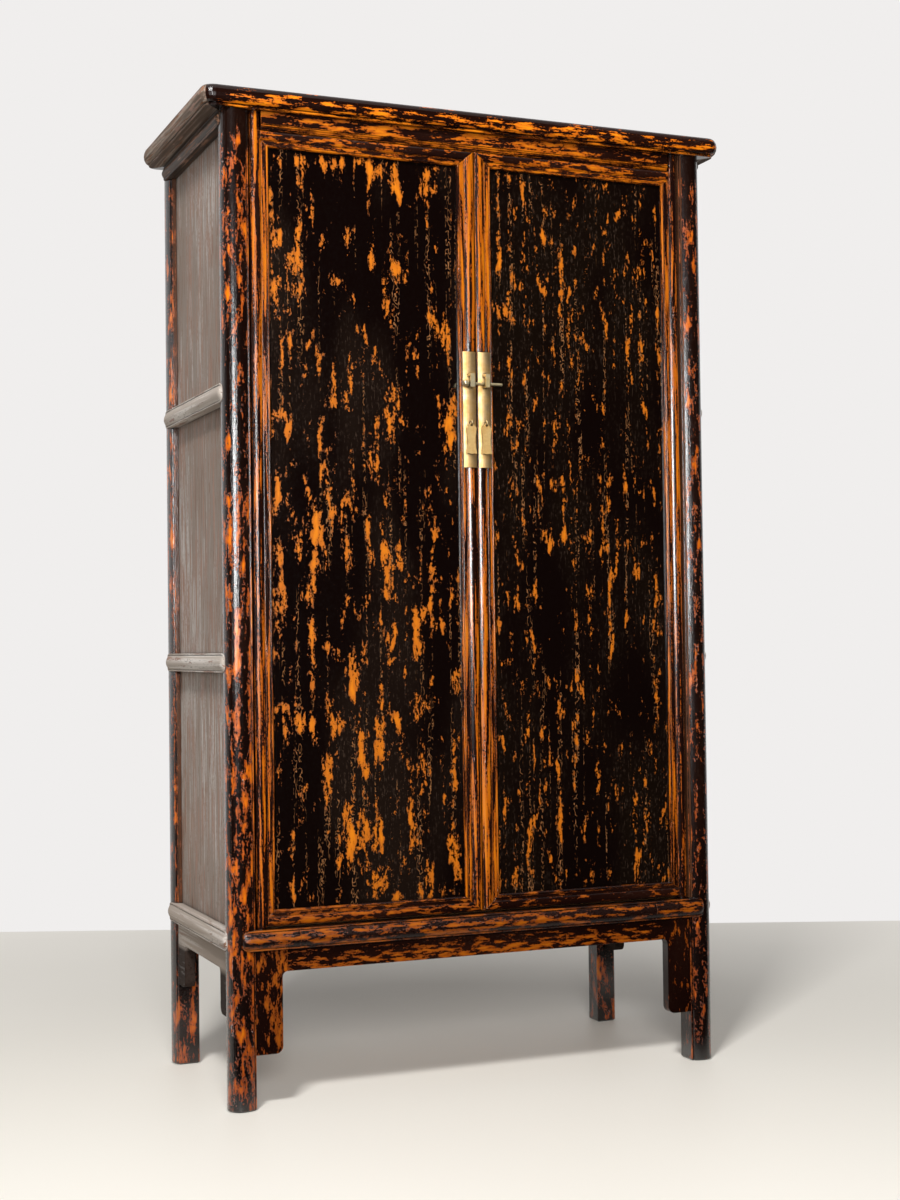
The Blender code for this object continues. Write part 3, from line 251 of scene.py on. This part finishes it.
lacquer = {
    "grain": "Z",
    "seed": (0.0, 0.0, 0.0),
    # layers of wear: mm across and along the grain
    "drift": (140, 360),        # how wear gathers over a whole board
    "trail": (15, 420),         # long trails down the grain
    "chip": (21, 60),           # the patches that chips gather in
    "ragged": (4.0, 7.5),       # the broken edge of a chip
    "fibre": (1.5, 20),         # grain under the lacquer
    "lace": (7, 15),            # loops of fine cracks, drawn a little coarser than the real ones
    # how far it is rubbed
    "weights": {"drift": 0.14, "trail": 0.31, "chip": 0.9},
    "raggedWeight": 0.55,
    "bare": 1.06,               # level above which the ground shows
    "edge": 0.007,              # softness of a chip's edge
    "patches": (),              # stretches rubbed more or less: centre and reach in metres, amount
    "patchCore": 0.2,           # share of the reach that gets the whole amount
    "dirt": 0.22,               # corners and quirks are rubbed less by this
    "hollowReach": 0.010,         # metres
    "hollowOpen": (0.3, 0.85),    # openness over which a corner is rubbed fully and loses its grime and painted shade
    "arris": 0.13,              # sharp edges are rubbed more by this
    "arrisSize": 0.0022,        # metres
    "arrisTurn": (0.995, 0.88),  # agreement of the true and the rounded normal over which one begins
    "arrisBulge": (0.5, 0.52),  # pointiness of a convex one
    "crest": 0.0,               # beads are rubbed more by this
    "crestBulge": (0.505, 0.56),
    # colours
    "groundStops": ((0.0, "#76401a"), (0.3, "#b25e12"), (0.7, "#c86c0c"), (1.0, "#da7c0c")),
    "groundRange": (-0.35, -0.13),  # levels, from bare, over which the ground brightens
    "coat": "#0a0302",
    "haze": "#180f0a",          # dust in the coat; on the sides partly painted sheen
    "hazeRange": (0.42, 0.68),
    "hazeStreak": 0.0,          # how far the haze follows the trails
    "streakRange": (0.48, 0.52),
    "speck": "#3f3128",
    "speckRange": (1.12, 1.2),
    "speckShare": 0.7,
    "hairline": "#96663f",
    "laceWidth": 0.024,
    "laceLevel": 0.585,         # trails above this carry cracks
    "laceFade": 0.06,
    "laceShare": 0.8,
    "grimeAndShade": 0.3,               # tone of the deepest corners: grime and painted shade
    "heightTones": ((0.0, 0.45, "#aca199"),),  # heights in metres where the darkening is full and where it ends, its tone; darker towards the floor
    # thin brown lacquer on inner faces, which nobody rubbed
    "lining": (0.0, 0.0, 0.0),  # 1, 1, 0 for faces towards the middle, 0, 0, 1 for a door's back
    "liningTurn": (-0.25, -0.4),    # how far a face is turned inwards
    "liningFrom": 0.33,         # height in metres above which there is any
    "liner": ("#43281a", "#5e3b25"),
    "linerGrain": (0.75, 1.25),
    # surface
    "gloss": 0.13,
    "glossNoise": (0.3, 0.75),
    "glossSpread": (-0.05, 0.09),
    "chipGloss": 0.30,
    "ior": 1.54,
    "mirror": 0.5,              # 0.5 is a clean surface, less is a dusty one
    "wax": 0.0,                 # weight of a wax polish over everything
    "waxGloss": 0.15,
    "waxIor": 1.5,
    "relief": 0.12,
    "reliefDepth": 0.0006,      # metres
    "chipDepth": -0.6,          # shares of it: chips lie lower than the coat
    "raggedDepth": 0.5,
}
layerNoise = {                  # detail and roughness of each layer's noise
    "drift": (1.0, 0.6),
    "trail": (2.0, 0.6),
    "chip": (2.0, 0.6),
    "ragged": (6.0, 0.7),
    "fibre": (2.0, 0.6),
    "lace": (1.0, 0.6),
}


def layersOfWear(tree, look, place):
    layers = {}
    for layer, (detail, roughness) in layerNoise.items():
        size = perMetre(look["grain"], *look[layer])
        where = addNode(tree, "ShaderNodeMapping",
                        {"Vector": place, "Scale": size, "Location": look["seed"]})
        layers[layer] = addNode(tree, "ShaderNodeTexNoise",
                                {"Vector": where, "Scale": 1.0, "Detail": detail, "Roughness": roughness})
    return layers


def rubbedLevel(tree, look, place, layers, exposed, rounded):
    # how far each spot is rubbed, before the ragged edges
    level = 0.0
    for layer, weight in look["weights"].items():
        level = addNode(tree, "ShaderNodeMath", {0: layers[layer], 1: weight, 2: level},
                        operation="MULTIPLY_ADD")
    for centre, reach, amount in look["patches"]:
        away = addNode(tree, "ShaderNodeVectorMath", {0: place, 1: centre}, operation="SUBTRACT")
        away = addNode(tree, "ShaderNodeVectorMath", {0: away, 1: [1 / r for r in reach]},
                       operation="MULTIPLY")
        away = addNode(tree, "ShaderNodeVectorMath", {0: away}, operation="LENGTH")
        ends = (look["patchCore"], 1.0)
        near = addNode(tree, "ShaderNodeMapRange",
                       {"Value": away, **span("From", ends), **span("To", (amount, 0.0))},
                       interpolation_type="SMOOTHSTEP")
        level = addNode(tree, "ShaderNodeMath", {0: level, 1: near})
    level = addNode(tree, "ShaderNodeMath", {0: exposed, 1: look["dirt"], 2: level},
                    operation="MULTIPLY_ADD")
    level = addNode(tree, "ShaderNodeMath", {0: level, 1: look["dirt"]}, operation="SUBTRACT")
    # arrises: where the rounded normal leaves the true one on a convex edge
    shape = addNode(tree, "ShaderNodeNewGeometry").outputs
    alike = addNode(tree, "ShaderNodeVectorMath", {0: rounded, 1: shape["Normal"]}, operation="DOT_PRODUCT")
    turned = addNode(tree, "ShaderNodeMapRange", {"Value": alike, **span("From", look["arrisTurn"])})
    convex = addNode(tree, "ShaderNodeMapRange",
                     {"Value": shape["Pointiness"], **span("From", look["arrisBulge"])})
    arris = addNode(tree, "ShaderNodeMath", {0: turned, 1: convex}, operation="MULTIPLY")
    level = addNode(tree, "ShaderNodeMath", {0: arris, 1: look["arris"], 2: level},
                    operation="MULTIPLY_ADD")
    crest = addNode(tree, "ShaderNodeMapRange",
                    {"Value": shape["Pointiness"], **span("From", look["crestBulge"])})
    return addNode(tree, "ShaderNodeMath", {0: crest, 1: look["crest"], 2: level}, operation="MULTIPLY_ADD")


def groundColour(tree, look, level):
    # browner where it is only just rubbed through
    ends = [look["bare"] + end for end in look["groundRange"]]
    worn = addNode(tree, "ShaderNodeMapRange", {"Value": level, **span("From", ends)})
    ground = addNode(tree, "ShaderNodeValToRGB", {"Fac": worn})
    stops = ground.color_ramp.elements
    while len(stops) < len(look["groundStops"]):
        stops.new(1.0)
    for stop, (position, hexColour) in zip(stops, look["groundStops"]):
        stop.position = position
        stop.color = linear(hexColour)
    return ground


def coatColour(tree, look, layers):
    # top coat with a dusty haze, fine specks and lacy cracks
    streak = look["hazeStreak"]
    ends = [end + streak * rise for end, rise in zip(look["hazeRange"], look["streakRange"])]
    hazy = addNode(tree, "ShaderNodeMath", {0: layers["trail"], 1: streak, 2: layers["drift"]},
                   operation="MULTIPLY_ADD")
    hazy = addNode(tree, "ShaderNodeMapRange", {"Value": hazy, **span("From", ends)},
                   interpolation_type="SMOOTHSTEP")
    coat = addNode(tree, "ShaderNodeMix",
                   {"Factor": hazy, "A": linear(look["coat"]), "B": linear(look["haze"])}, data_type="RGBA")
    dusty = addNode(tree, "ShaderNodeMath", {0: layers["ragged"], 1: layers["fibre"]})
    specks = addNode(tree, "ShaderNodeMapRange",
                     {"Value": dusty, **span("From", look["speckRange"]), "To Max": look["speckShare"]})
    specks = addNode(tree, "ShaderNodeMath", {0: specks, 1: hazy}, operation="MULTIPLY")
    coat = addNode(tree, "ShaderNodeMix", {"Factor": specks, "A": coat, "B": linear(look["speck"])},
                   data_type="RGBA")
    middle = 0.5    # of the noise, whose level line makes the loops
    loops = addNode(tree, "ShaderNodeMath", {0: layers["lace"], 1: middle, 2: look["laceWidth"]},
                    operation="COMPARE")
    ends = (look["laceLevel"], look["laceLevel"] + look["laceFade"])
    laced = addNode(tree, "ShaderNodeMapRange",
                    {"Value": layers["trail"], **span("From", ends), "To Max": look["laceShare"]})
    hairs = addNode(tree, "ShaderNodeMath", {0: loops, 1: laced}, operation="MULTIPLY")
    return addNode(tree, "ShaderNodeMix", {"Factor": hairs, "A": coat, "B": linear(look["hairline"])},
                   data_type="RGBA")


def addGrimeShadeAndHeightTones(tree, look, colour, exposed, height):
    # grime and painted shade in the corners, and darkening by height
    grimeAndShade = addNode(tree, "ShaderNodeMapRange", {"Value": exposed, "To Min": look["grimeAndShade"]})
    colour = addNode(tree, "ShaderNodeMix", {"Factor": 1.0, "A": colour, "B": grimeAndShade}, data_type="RGBA",
                     blend_type="MULTIPLY")
    for fullAt, end, tone in look["heightTones"]:
        heightTones = addNode(tree, "ShaderNodeMapRange",
                       {"Value": height, **span("From", (fullAt, end)), **span("To", (1.0, 0.0))})
        colour = addNode(tree, "ShaderNodeMix", {"Factor": heightTones, "A": colour, "B": linear(tone)},
                         data_type="RGBA", blend_type="MULTIPLY")
    return colour


def addLining(tree, look, colour, layers, spot, height):
    across, deep, back = look["lining"]
    middle = addNode(tree, "ShaderNodeVectorMath", {0: spot["Object"], 1: (across, deep, 0.0)},
                     operation="MULTIPLY")
    middle = addNode(tree, "ShaderNodeVectorMath", {0: middle}, operation="NORMALIZE")
    middle = addNode(tree, "ShaderNodeVectorMath", {0: middle, 1: (0.0, -back, 0.0)})
    inward = addNode(tree, "ShaderNodeVectorMath", {0: middle, 1: spot["Normal"]}, operation="DOT_PRODUCT")
    inner = addNode(tree, "ShaderNodeMapRange", {"Value": inward, **span("From", look["liningTurn"])})
    above = addNode(tree, "ShaderNodeMath", {0: height, 1: look["liningFrom"]}, operation="GREATER_THAN")
    inner = addNode(tree, "ShaderNodeMath", {0: inner, 1: above}, operation="MULTIPLY")
    grainy = addNode(tree, "ShaderNodeMath", {0: layers["trail"], 1: layers["fibre"]})
    grainy = addNode(tree, "ShaderNodeMapRange", {"Value": grainy, **span("From", look["linerGrain"])})
    dark, light = look["liner"]
    liner = addNode(tree, "ShaderNodeMix", {"Factor": grainy, "A": linear(dark), "B": linear(light)},
                    data_type="RGBA")
    return addNode(tree, "ShaderNodeMix", {"Factor": inner, "A": colour, "B": liner}, data_type="RGBA")


def rubbedLacquer(name, changes):
    look = {**lacquer, **changes}
    material, tree = startMaterial(name)
    spot = addNode(tree, "ShaderNodeTexCoord").outputs
    height = addNode(tree, "ShaderNodeSeparateXYZ", {"Vector": spot["Object"]}).outputs["Z"]
    layers = layersOfWear(tree, look, spot["Object"])
    rounded = addNode(tree, "ShaderNodeBevel", {"Radius": look["arrisSize"]}, samples=4)
    # openness near other surfaces: corners are rubbed less, and get grime and painted shade
    exposed = addNode(tree, "ShaderNodeAmbientOcclusion", {"Distance": look["hollowReach"]}, samples=4)
    exposed = addNode(tree, "ShaderNodeMapRange",
                      {"Value": exposed.outputs["AO"], **span("From", look["hollowOpen"])})
    # where the ground shows
    level = rubbedLevel(tree, look, spot["Object"], layers, exposed, rounded)
    broken = addNode(tree, "ShaderNodeMath", {0: layers["ragged"], 1: look["raggedWeight"], 2: level},
                     operation="MULTIPLY_ADD")
    ends = (look["bare"] - look["edge"], look["bare"] + look["edge"])
    bare = addNode(tree, "ShaderNodeMapRange", {"Value": broken, **span("From", ends)},
                   interpolation_type="SMOOTHSTEP")
    # colour
    ground = groundColour(tree, look, level)
    coat = coatColour(tree, look, layers)
    colour = addNode(tree, "ShaderNodeMix", {"Factor": bare, "A": coat, "B": ground}, data_type="RGBA")
    colour = addGrimeShadeAndHeightTones(tree, look, colour, exposed, height)
    colour = addLining(tree, look, colour, layers, spot, height)
    # gloss and relief, with fine grain under both coat and chips
    ends = [look["gloss"] + change for change in look["glossSpread"]]
    rough = addNode(tree, "ShaderNodeMapRange",
                    {"Value": layers["ragged"], **span("From", look["glossNoise"]), **span("To", ends)})
    rough = addNode(tree, "ShaderNodeMix", {"Factor": bare, "A": rough, "B": look["chipGloss"]},
                    data_type="FLOAT")
    bumps = addNode(tree, "ShaderNodeMath", {0: bare, 1: look["chipDepth"], 2: layers["fibre"]},
                    operation="MULTIPLY_ADD")
    bumps = addNode(tree, "ShaderNodeMath", {0: layers["ragged"], 1: look["raggedDepth"], 2: bumps},
                    operation="MULTIPLY_ADD")
    relief = addNode(tree, "ShaderNodeBump",
                     {"Strength": look["relief"], "Distance": look["reliefDepth"], "Height": bumps,
                      "Normal": rounded})
    surface = addNode(tree, "ShaderNodeBsdfPrincipled",
                      {"Base Color": colour, "Roughness": rough, "IOR": look["ior"],
                       "Specular IOR Level": look["mirror"], "Normal": relief,
                       "Coat Weight": look["wax"], "Coat IOR": look["waxIor"],
                       "Coat Roughness": look["waxGloss"], "Coat Normal": relief})
    addNode(tree, "ShaderNodeOutputMaterial", {"Surface": surface})
    return material


carcass = (1.0, 1.0, 0.0)       # linings
doorBack = (0.0, 0.0, 1.0)
orangeGround = ((0.0, "#96420e"), (0.3, "#cc620e"), (0.65, "#e47a0e"), (1.0, "#f89010"))
emberGround = ((0.0, "#74300a"), (0.3, "#a04a08"), (0.65, "#ba5e08"), (1.0, "#d07408"))
redGround = ((0.0, "#5c260a"), (0.3, "#803a08"), (0.65, "#984a08"), (1.0, "#b25e0a"))
sideGround = ((0.0, "#75594a"), (0.5, "#84624e"), (1.0, "#926850"))

# frame pieces: handled more, so the coat is thinner, browner and waxed, and chips break out squarer
frameFinish = {
    "coat": "#1a0804",
    "haze": "#261009",
    "gloss": 0.17,
    "wax": 1.0,
    "waxGloss": 0.13,
    "mirror": 0.2,
    "weights": {"drift": 0.2, "trail": 0.2, "chip": 0.9},
    "groundStops": emberGround,
    "laceLevel": 1.0,           # no cracks
    "lining": carcass,
}
edgeFinish = {**frameFinish, "wax": 0.4, "waxGloss": 0.22, "mirror": 0.35}
redFinish = {**frameFinish, "groundStops": redGround, "wax": 0.2, "mirror": 0.35}
railGrain = {"grain": "X", "ragged": (3, 6)}

# sides: rubbed dull, a grey brown satin, their pale coat and haze partly painted sheen
sideFinish = {
    "coat": "#96897f",
    "haze": "#c8c1bb",
    "mirror": 0.1,
    "hazeStreak": 1.6,
    "hairline": "#7a4c2a",
    "lace": (4, 160),
    "laceLevel": 0.48,
    "laceWidth": 0.04,
    "gloss": 0.72,
    "raggedWeight": 0.42,
    "groundStops": sideGround,
    "lining": carcass,
}
sideRailGrain = {"grain": "Y", "chip": (8, 90), "trail": (6, 420)}

leftDoor = {
    "raggedWeight": 0.7,
    "bare": 1.14,
    "groundRange": (-0.43, -0.2),
    "lining": doorBack,
    "patches": (                # two stretches at hand height, then the top edge
        ((-0.38, -0.2215, 0.95), (0.13, 0.1, 0.32), 0.03),
        ((-0.20, -0.2215, 0.85), (0.12, 0.1, 0.30), 0.015),
        ((-0.26, -0.2215, 1.77), (0.16, 0.1, 0.03), 0.12),
    ),
}
dress(rubbedLacquer("rubbedLacquerLeftDoor", leftDoor), "left_door_panel")

rightDoor = {
    "seed": (7.3, 1.1, 4.7),
    "chip": (17, 56),
    "raggedWeight": 0.7,
    "bare": 1.165,
    "groundRange": (-0.43, -0.18),
    "haze": "#100804",
    "lining": doorBack,
}
dress(rubbedLacquer("rubbedLacquerRightDoor", rightDoor), "right_door_panel")

posts = {
    **frameFinish,
    "seed": (3.1, 2.2, 8.4),
    "chip": (13, 48),
    "trail": (10, 600),
    "ragged": (3.4, 6),
    "raggedWeight": 0.75,
    "bare": 1.085,
    "coat": "#130603",
    "haze": "#1f0d07",
    "groundStops": orangeGround,
    "waxGloss": 0.15,
    "relief": 0.6,
    "patches": (                # under the top, then the left front post and its foot, then the right one
        ((0, 0, 1.84), (3, 3, 0.06), -0.18),
        ((-0.482, -0.212, 0.5), (0.12, 0.12, 0.45), 0.06),
        ((-0.482, -0.212, 0.06), (0.12, 0.12, 0.2), 0.04),
        ((0.482, -0.212, 0.95), (0.12, 0.12, 1.2), -0.04),
    ),
}
dress(rubbedLacquer("rubbedLacquerPosts", posts), *piecesNamed(start="post_"))

stiles = {
    **frameFinish,
    "seed": (1.7, 5.2, 2.9),
    "chip": (6, 150),
    "trail": (5, 500),
    "ragged": (2.4, 6),
    "bare": 0.985,
    "crest": 0.03,
    "relief": 0.25,
    "lining": doorBack,
    "patches": (((0, -0.24, 1.0), (0.06, 0.1, 2.0), 0.05),),    # where the doors meet
}
dress(rubbedLacquer("rubbedLacquerStiles", stiles), *piecesNamed(end="_stile"))

frontRail = {
    **redFinish,
    **railGrain,
    "seed": (5.5, 0.4, 1.9),
    "chip": (9, 40),
    "trail": (7, 300),
    "bare": 0.925,
    "gloss": 0.28,
    "mirror": 0.5,
    "wax": 0.0,
    "relief": 0.3,
    "patches": (                # the two ends, then the whole right half
        ((-0.43, -0.24, 0.31), (0.07, 0.1, 0.1), 0.08),
        ((0.43, -0.24, 0.31), (0.07, 0.1, 0.1), 0.06),
        ((0.4, -0.24, 0.31), (0.4, 0.1, 0.1), -0.06),
    ),
}
dress(rubbedLacquer("rubbedLacquerFrontRail", frontRail),
      "bottom_rail_front", "pivot_block_left", "pivot_block_right")

header = {
    **edgeFinish,
    **railGrain,
    "seed": (0.5, 2.4, 7.9),
    "chip": (10, 48),
    "trail": (6, 300),
    "bare": 0.935,
    "patches": (((0.4, -0.23, 1.8), (0.4, 0.1, 0.1), -0.05),),
}
dress(rubbedLacquer("rubbedLacquerHeader", header), "header_front")

highRails = {
    **edgeFinish,
    **railGrain,
    "seed": (4.5, 1.4, 2.9),
    "chip": (9, 42),
    "trail": (6, 300),
    "bare": 0.98,
    "lining": doorBack,
}
dress(rubbedLacquer("rubbedLacquerHighRails", highRails), *piecesNamed(end="_door_top_rail"))

lowRails = {
    **redFinish,
    **railGrain,
    "seed": (8.5, 5.4, 3.9),
    "chip": (9, 34),
    "trail": (7, 300),
    "bare": 0.98,
    "lining": doorBack,
    "patches": (((0.4, -0.23, 0.35), (0.4, 0.1, 0.1), -0.08),),
}
dress(rubbedLacquer("rubbedLacquerLowRails", lowRails), *piecesNamed(end="_door_bottom_rail"))

backRails = {
    **redFinish,
    "grain": "X",
    "seed": (1.5, 8.4, 2.9),
    "chip": (9, 70),
    "trail": (7, 420),
    "bare": 1.045,
}
dress(rubbedLacquer("rubbedLacquerBackRails", backRails),
      "top_frame_back", "top_rail_back", "back_rail_middle", "bottom_rail_back")

topEdge = {
    **edgeFinish,
    **railGrain,
    "seed": (2.5, 3.4, 5.9),
    "chip": (8, 50),
    "trail": (6, 420),
    "bare": 0.93,
    "groundStops": orangeGround,
    "wax": 0.2,
    "patches": (                # the left corner, the top of the edge, the right end
        ((-0.55, -0.25, 1.87), (0.07, 0.1, 0.1), -0.25),
        ((0.0, -0.25, 1.894), (9, 0.1, 0.026), -0.14),
        ((0.42, -0.25, 1.87), (0.36, 0.1, 0.1), -0.07),
    ),
}
dress(rubbedLacquer("rubbedLacquerTopEdge", topEdge), "top_frame_front")

sideRails = {
    **sideFinish,
    **sideRailGrain,
    "seed": (2.6, 6.1, 0.8),
    "bare": 1.02,
    # paler still: partly painted sheen
    "coat": "#bcb0a5",
    "haze": "#ded6ce",
    "laceLevel": 1.0,
}
dress(rubbedLacquer("rubbedLacquerSideRails", sideRails),
      *piecesNamed(start="side_rail_"), "bottom_rail_left", "bottom_rail_right")

sideAprons = {
    **sideFinish,
    **sideRailGrain,
    "seed": (5.6, 8.1, 3.8),
    "bare": 1.02,
    "coat": "#a89c91",
    "haze": "#cac2ba",
    "laceLevel": 1.0,
    "heightTones": (*lacquer["heightTones"], (0.238, 0.252, "#4c413c")),     # their brackets stayed dark
}
dress(rubbedLacquer("rubbedLacquerSideAprons", sideAprons), "apron_left", "apron_right")

topRails = {
    **sideFinish,
    **sideRailGrain,
    "seed": (6.2, 4.1, 9.8),
    "bare": 1.0,
    # a near-black coat, partly painted shade under the top's overhang
    "coat": "#2e241d",
    "haze": "#4c3f36",
    "gloss": 0.4,
}
dress(rubbedLacquer("rubbedLacquerTopRails", topRails), "top_rail_left", "top_rail_right")

topSides = {
    **sideFinish,
    **sideRailGrain,
    "seed": (7.6, 2.1, 4.8),
    "bare": 0.98,
    "coat": "#66564b",
    "haze": "#a6988c",
}
dress(rubbedLacquer("rubbedLacquerTopSides", topSides), "top_frame_left", "top_frame_right")

sides = {
    **sideFinish,
    "seed": (9.2, 3.3, 6.0),
    "chip": (10, 120),
    "trail": (5, 420),
    "fibre": (1.6, 90),
    "bare": 0.945,
    "edge": 0.07,
    "relief": 0.3,
}
dress(rubbedLacquer("rubbedLacquerSides", sides),
      *piecesNamed(start="side_panel_"), *piecesNamed(start="back_panel_"))

topPanel = {
    "grain": "X",
    "seed": (4.4, 7.7, 3.5),
    "chip": (24, 130),
    "trail": (14, 600),
    "bare": 1.045,
    "gloss": 0.30,
    "groundStops": redGround,
}
dress(rubbedLacquer("rubbedLacquerTop", topPanel), "top_panel")

frontApron = {
    **redFinish,
    "grain": "X",
    "seed": (6.6, 1.5, 9.1),
    "chip": (8, 34),
    "trail": (9, 300),
    "ragged": (2.6, 4.5),
    "bare": 0.915,
    "arris": 0.04,
    "patches": (((0, -0.229, 0.295), (9, 0.1, 0.035), -0.14),),  # its upper edge
}
dress(rubbedLacquer("rubbedLacquerApron", frontApron), "apron_front")

brackets = {
    **redFinish,
    "seed": (8.8, 4.9, 1.2),
    "chip": (8, 26),
    "trail": (8, 200),
    "ragged": (2.6, 4.5),
    "bare": 0.955,
    "arris": 0.04,
    "patches": (                # the left one's inner edge, the whole right one
        ((-0.402, -0.23, 0.18), (0.024, 0.1, 0.3), 0.14),
        ((0.43, -0.23, 0.2), (0.1, 0.1, 0.3), -0.1),
    ),
}
dress(rubbedLacquer("rubbedLacquerBrackets", brackets), *piecesNamed(start="bracket_"))
print("lacquer rubbed")


# Elm boards inside: sawn and planed, never lacquered. Gives a pale brown with long open grain.

elm = {
    "grain": "X",
    "figure": (28, 520),        # mm across and along the grain
    "pore": (1.6, 22),
    "poreWeight": 0.35,
    "toneRange": (0.5, 0.85),
    "pale": "#a9804f",
    "dark": "#74502c",
    "gloss": 0.55,
    "relief": 0.3,
    "reliefDepth": 0.0004,      # metres
}


def planedElm(look):
    material, tree = startMaterial("planedElm")
    place = addNode(tree, "ShaderNodeTexCoord").outputs["Object"]
    layers = {}
    for layer, detail in (("figure", 4.0), ("pore", 2.0)):
        size = perMetre(look["grain"], *look[layer])
        where = addNode(tree, "ShaderNodeMapping", {"Vector": place, "Scale": size})
        layers[layer] = addNode(tree, "ShaderNodeTexNoise",
                                {"Vector": where, "Scale": 1.0, "Detail": detail})
    mixed = addNode(tree, "ShaderNodeMath", {0: layers["pore"], 1: look["poreWeight"], 2: layers["figure"]},
                    operation="MULTIPLY_ADD")
    tone = addNode(tree, "ShaderNodeMapRange", {"Value": mixed, **span("From", look["toneRange"])})
    colour = addNode(tree, "ShaderNodeMix",
                     {"Factor": tone, "A": linear(look["pale"]), "B": linear(look["dark"])},
                     data_type="RGBA")
    relief = addNode(tree, "ShaderNodeBump",
                     {"Strength": look["relief"], "Distance": look["reliefDepth"],
                      "Height": layers["pore"]})
    surface = addNode(tree, "ShaderNodeBsdfPrincipled",
                      {"Base Color": colour, "Roughness": look["gloss"], "Normal": relief})
    addNode(tree, "ShaderNodeOutputMaterial", {"Surface": surface})
    return material


dress(planedElm(elm), "floor_board", "shelf_lower", "shelf_upper")
print("elm planed")


# Yellow brass: plates filed and rubbed satin, fittings cast and handled. Gives a soft cloudy yellow with
# fine upright scratches, and painted contact shade in the corners.

brass = {
    "bright": "#f6d29a",
    "dull": "#deb472",
    # painted shade: dark brown in corners and round the fittings, standing for contact shadow
    "corner": "#3c2c12",
    "cornerReach": 0.008,       # metres
    "cornerOpen": (0.4, 0.95),  # openness over which the painted shade fades out
    "cloud": 16.0,              # mm
    "cloudRange": (0.35, 0.68),
    "scratch": (0.6, 12),       # mm across and along
    "gloss": 0.5,
    "glossNoise": (0.3, 0.7),
    "glossSpread": (-0.06, 0.1),
    "arrisSize": 0.0006,        # metres
    "relief": 0.2,
    "reliefDepth": 0.0002,      # metres
}


def oldBrass(name, changes):
    look = {**brass, **changes}
    material, tree = startMaterial(name)
    place = addNode(tree, "ShaderNodeTexCoord").outputs["Object"]
    cloud = addNode(tree, "ShaderNodeTexNoise",
                    {"Vector": place, "Scale": 1000 / look["cloud"], "Detail": 4.0})
    where = addNode(tree, "ShaderNodeMapping", {"Vector": place, "Scale": perMetre("Z", *look["scratch"])})
    scratch = addNode(tree, "ShaderNodeTexNoise", {"Vector": where, "Scale": 1.0, "Detail": 2.0})
    tone = addNode(tree, "ShaderNodeMapRange", {"Value": cloud, **span("From", look["cloudRange"])})
    colour = addNode(tree, "ShaderNodeMix",
                     {"Factor": tone, "A": linear(look["bright"]), "B": linear(look["dull"])},
                     data_type="RGBA")
    # painted shade: corners and the plate round each fitting darken like a contact shadow
    close = addNode(tree, "ShaderNodeAmbientOcclusion", {"Distance": look["cornerReach"]}, samples=8)
    corner = addNode(tree, "ShaderNodeMapRange",
                     {"Value": close.outputs["AO"], **span("From", look["cornerOpen"]),
                      **span("To", (1.0, 0.0))})
    colour = addNode(tree, "ShaderNodeMix", {"Factor": corner, "A": colour, "B": linear(look["corner"])},
                     data_type="RGBA")
    ends = [look["gloss"] + change for change in look["glossSpread"]]
    rough = addNode(tree, "ShaderNodeMapRange",
                    {"Value": cloud, **span("From", look["glossNoise"]), **span("To", ends)})
    rounded = addNode(tree, "ShaderNodeBevel", {"Radius": look["arrisSize"]}, samples=4)
    relief = addNode(tree, "ShaderNodeBump",
                     {"Strength": look["relief"], "Distance": look["reliefDepth"], "Height": scratch,
                      "Normal": rounded})
    surface = addNode(tree, "ShaderNodeBsdfPrincipled",
                      {"Base Color": colour, "Metallic": 1.0, "Roughness": rough, "Normal": relief})
    addNode(tree, "ShaderNodeOutputMaterial", {"Surface": surface})
    return material


plates = {}                     # as the brass above
dress(oldBrass("satinBrassPlate", plates), "left_lock_plate", "right_lock_plate")

pulls = {"bright": "#f4d290", "dull": "#dcb574", "gloss": 0.6}
dress(oldBrass("polishedBrassPulls", pulls), "left_pull", "right_pull")

fittings = {"bright": "#f4e4bc", "dull": "#d2bb86", "gloss": 0.48}
dress(oldBrass("handledBrass", fittings),
      "left_staple", "right_staple", "lock_pin", "left_pull_eye", "right_pull_eye")
print("brass rubbed")


bpy.context.scene.view_settings.view_transform = "Standard"
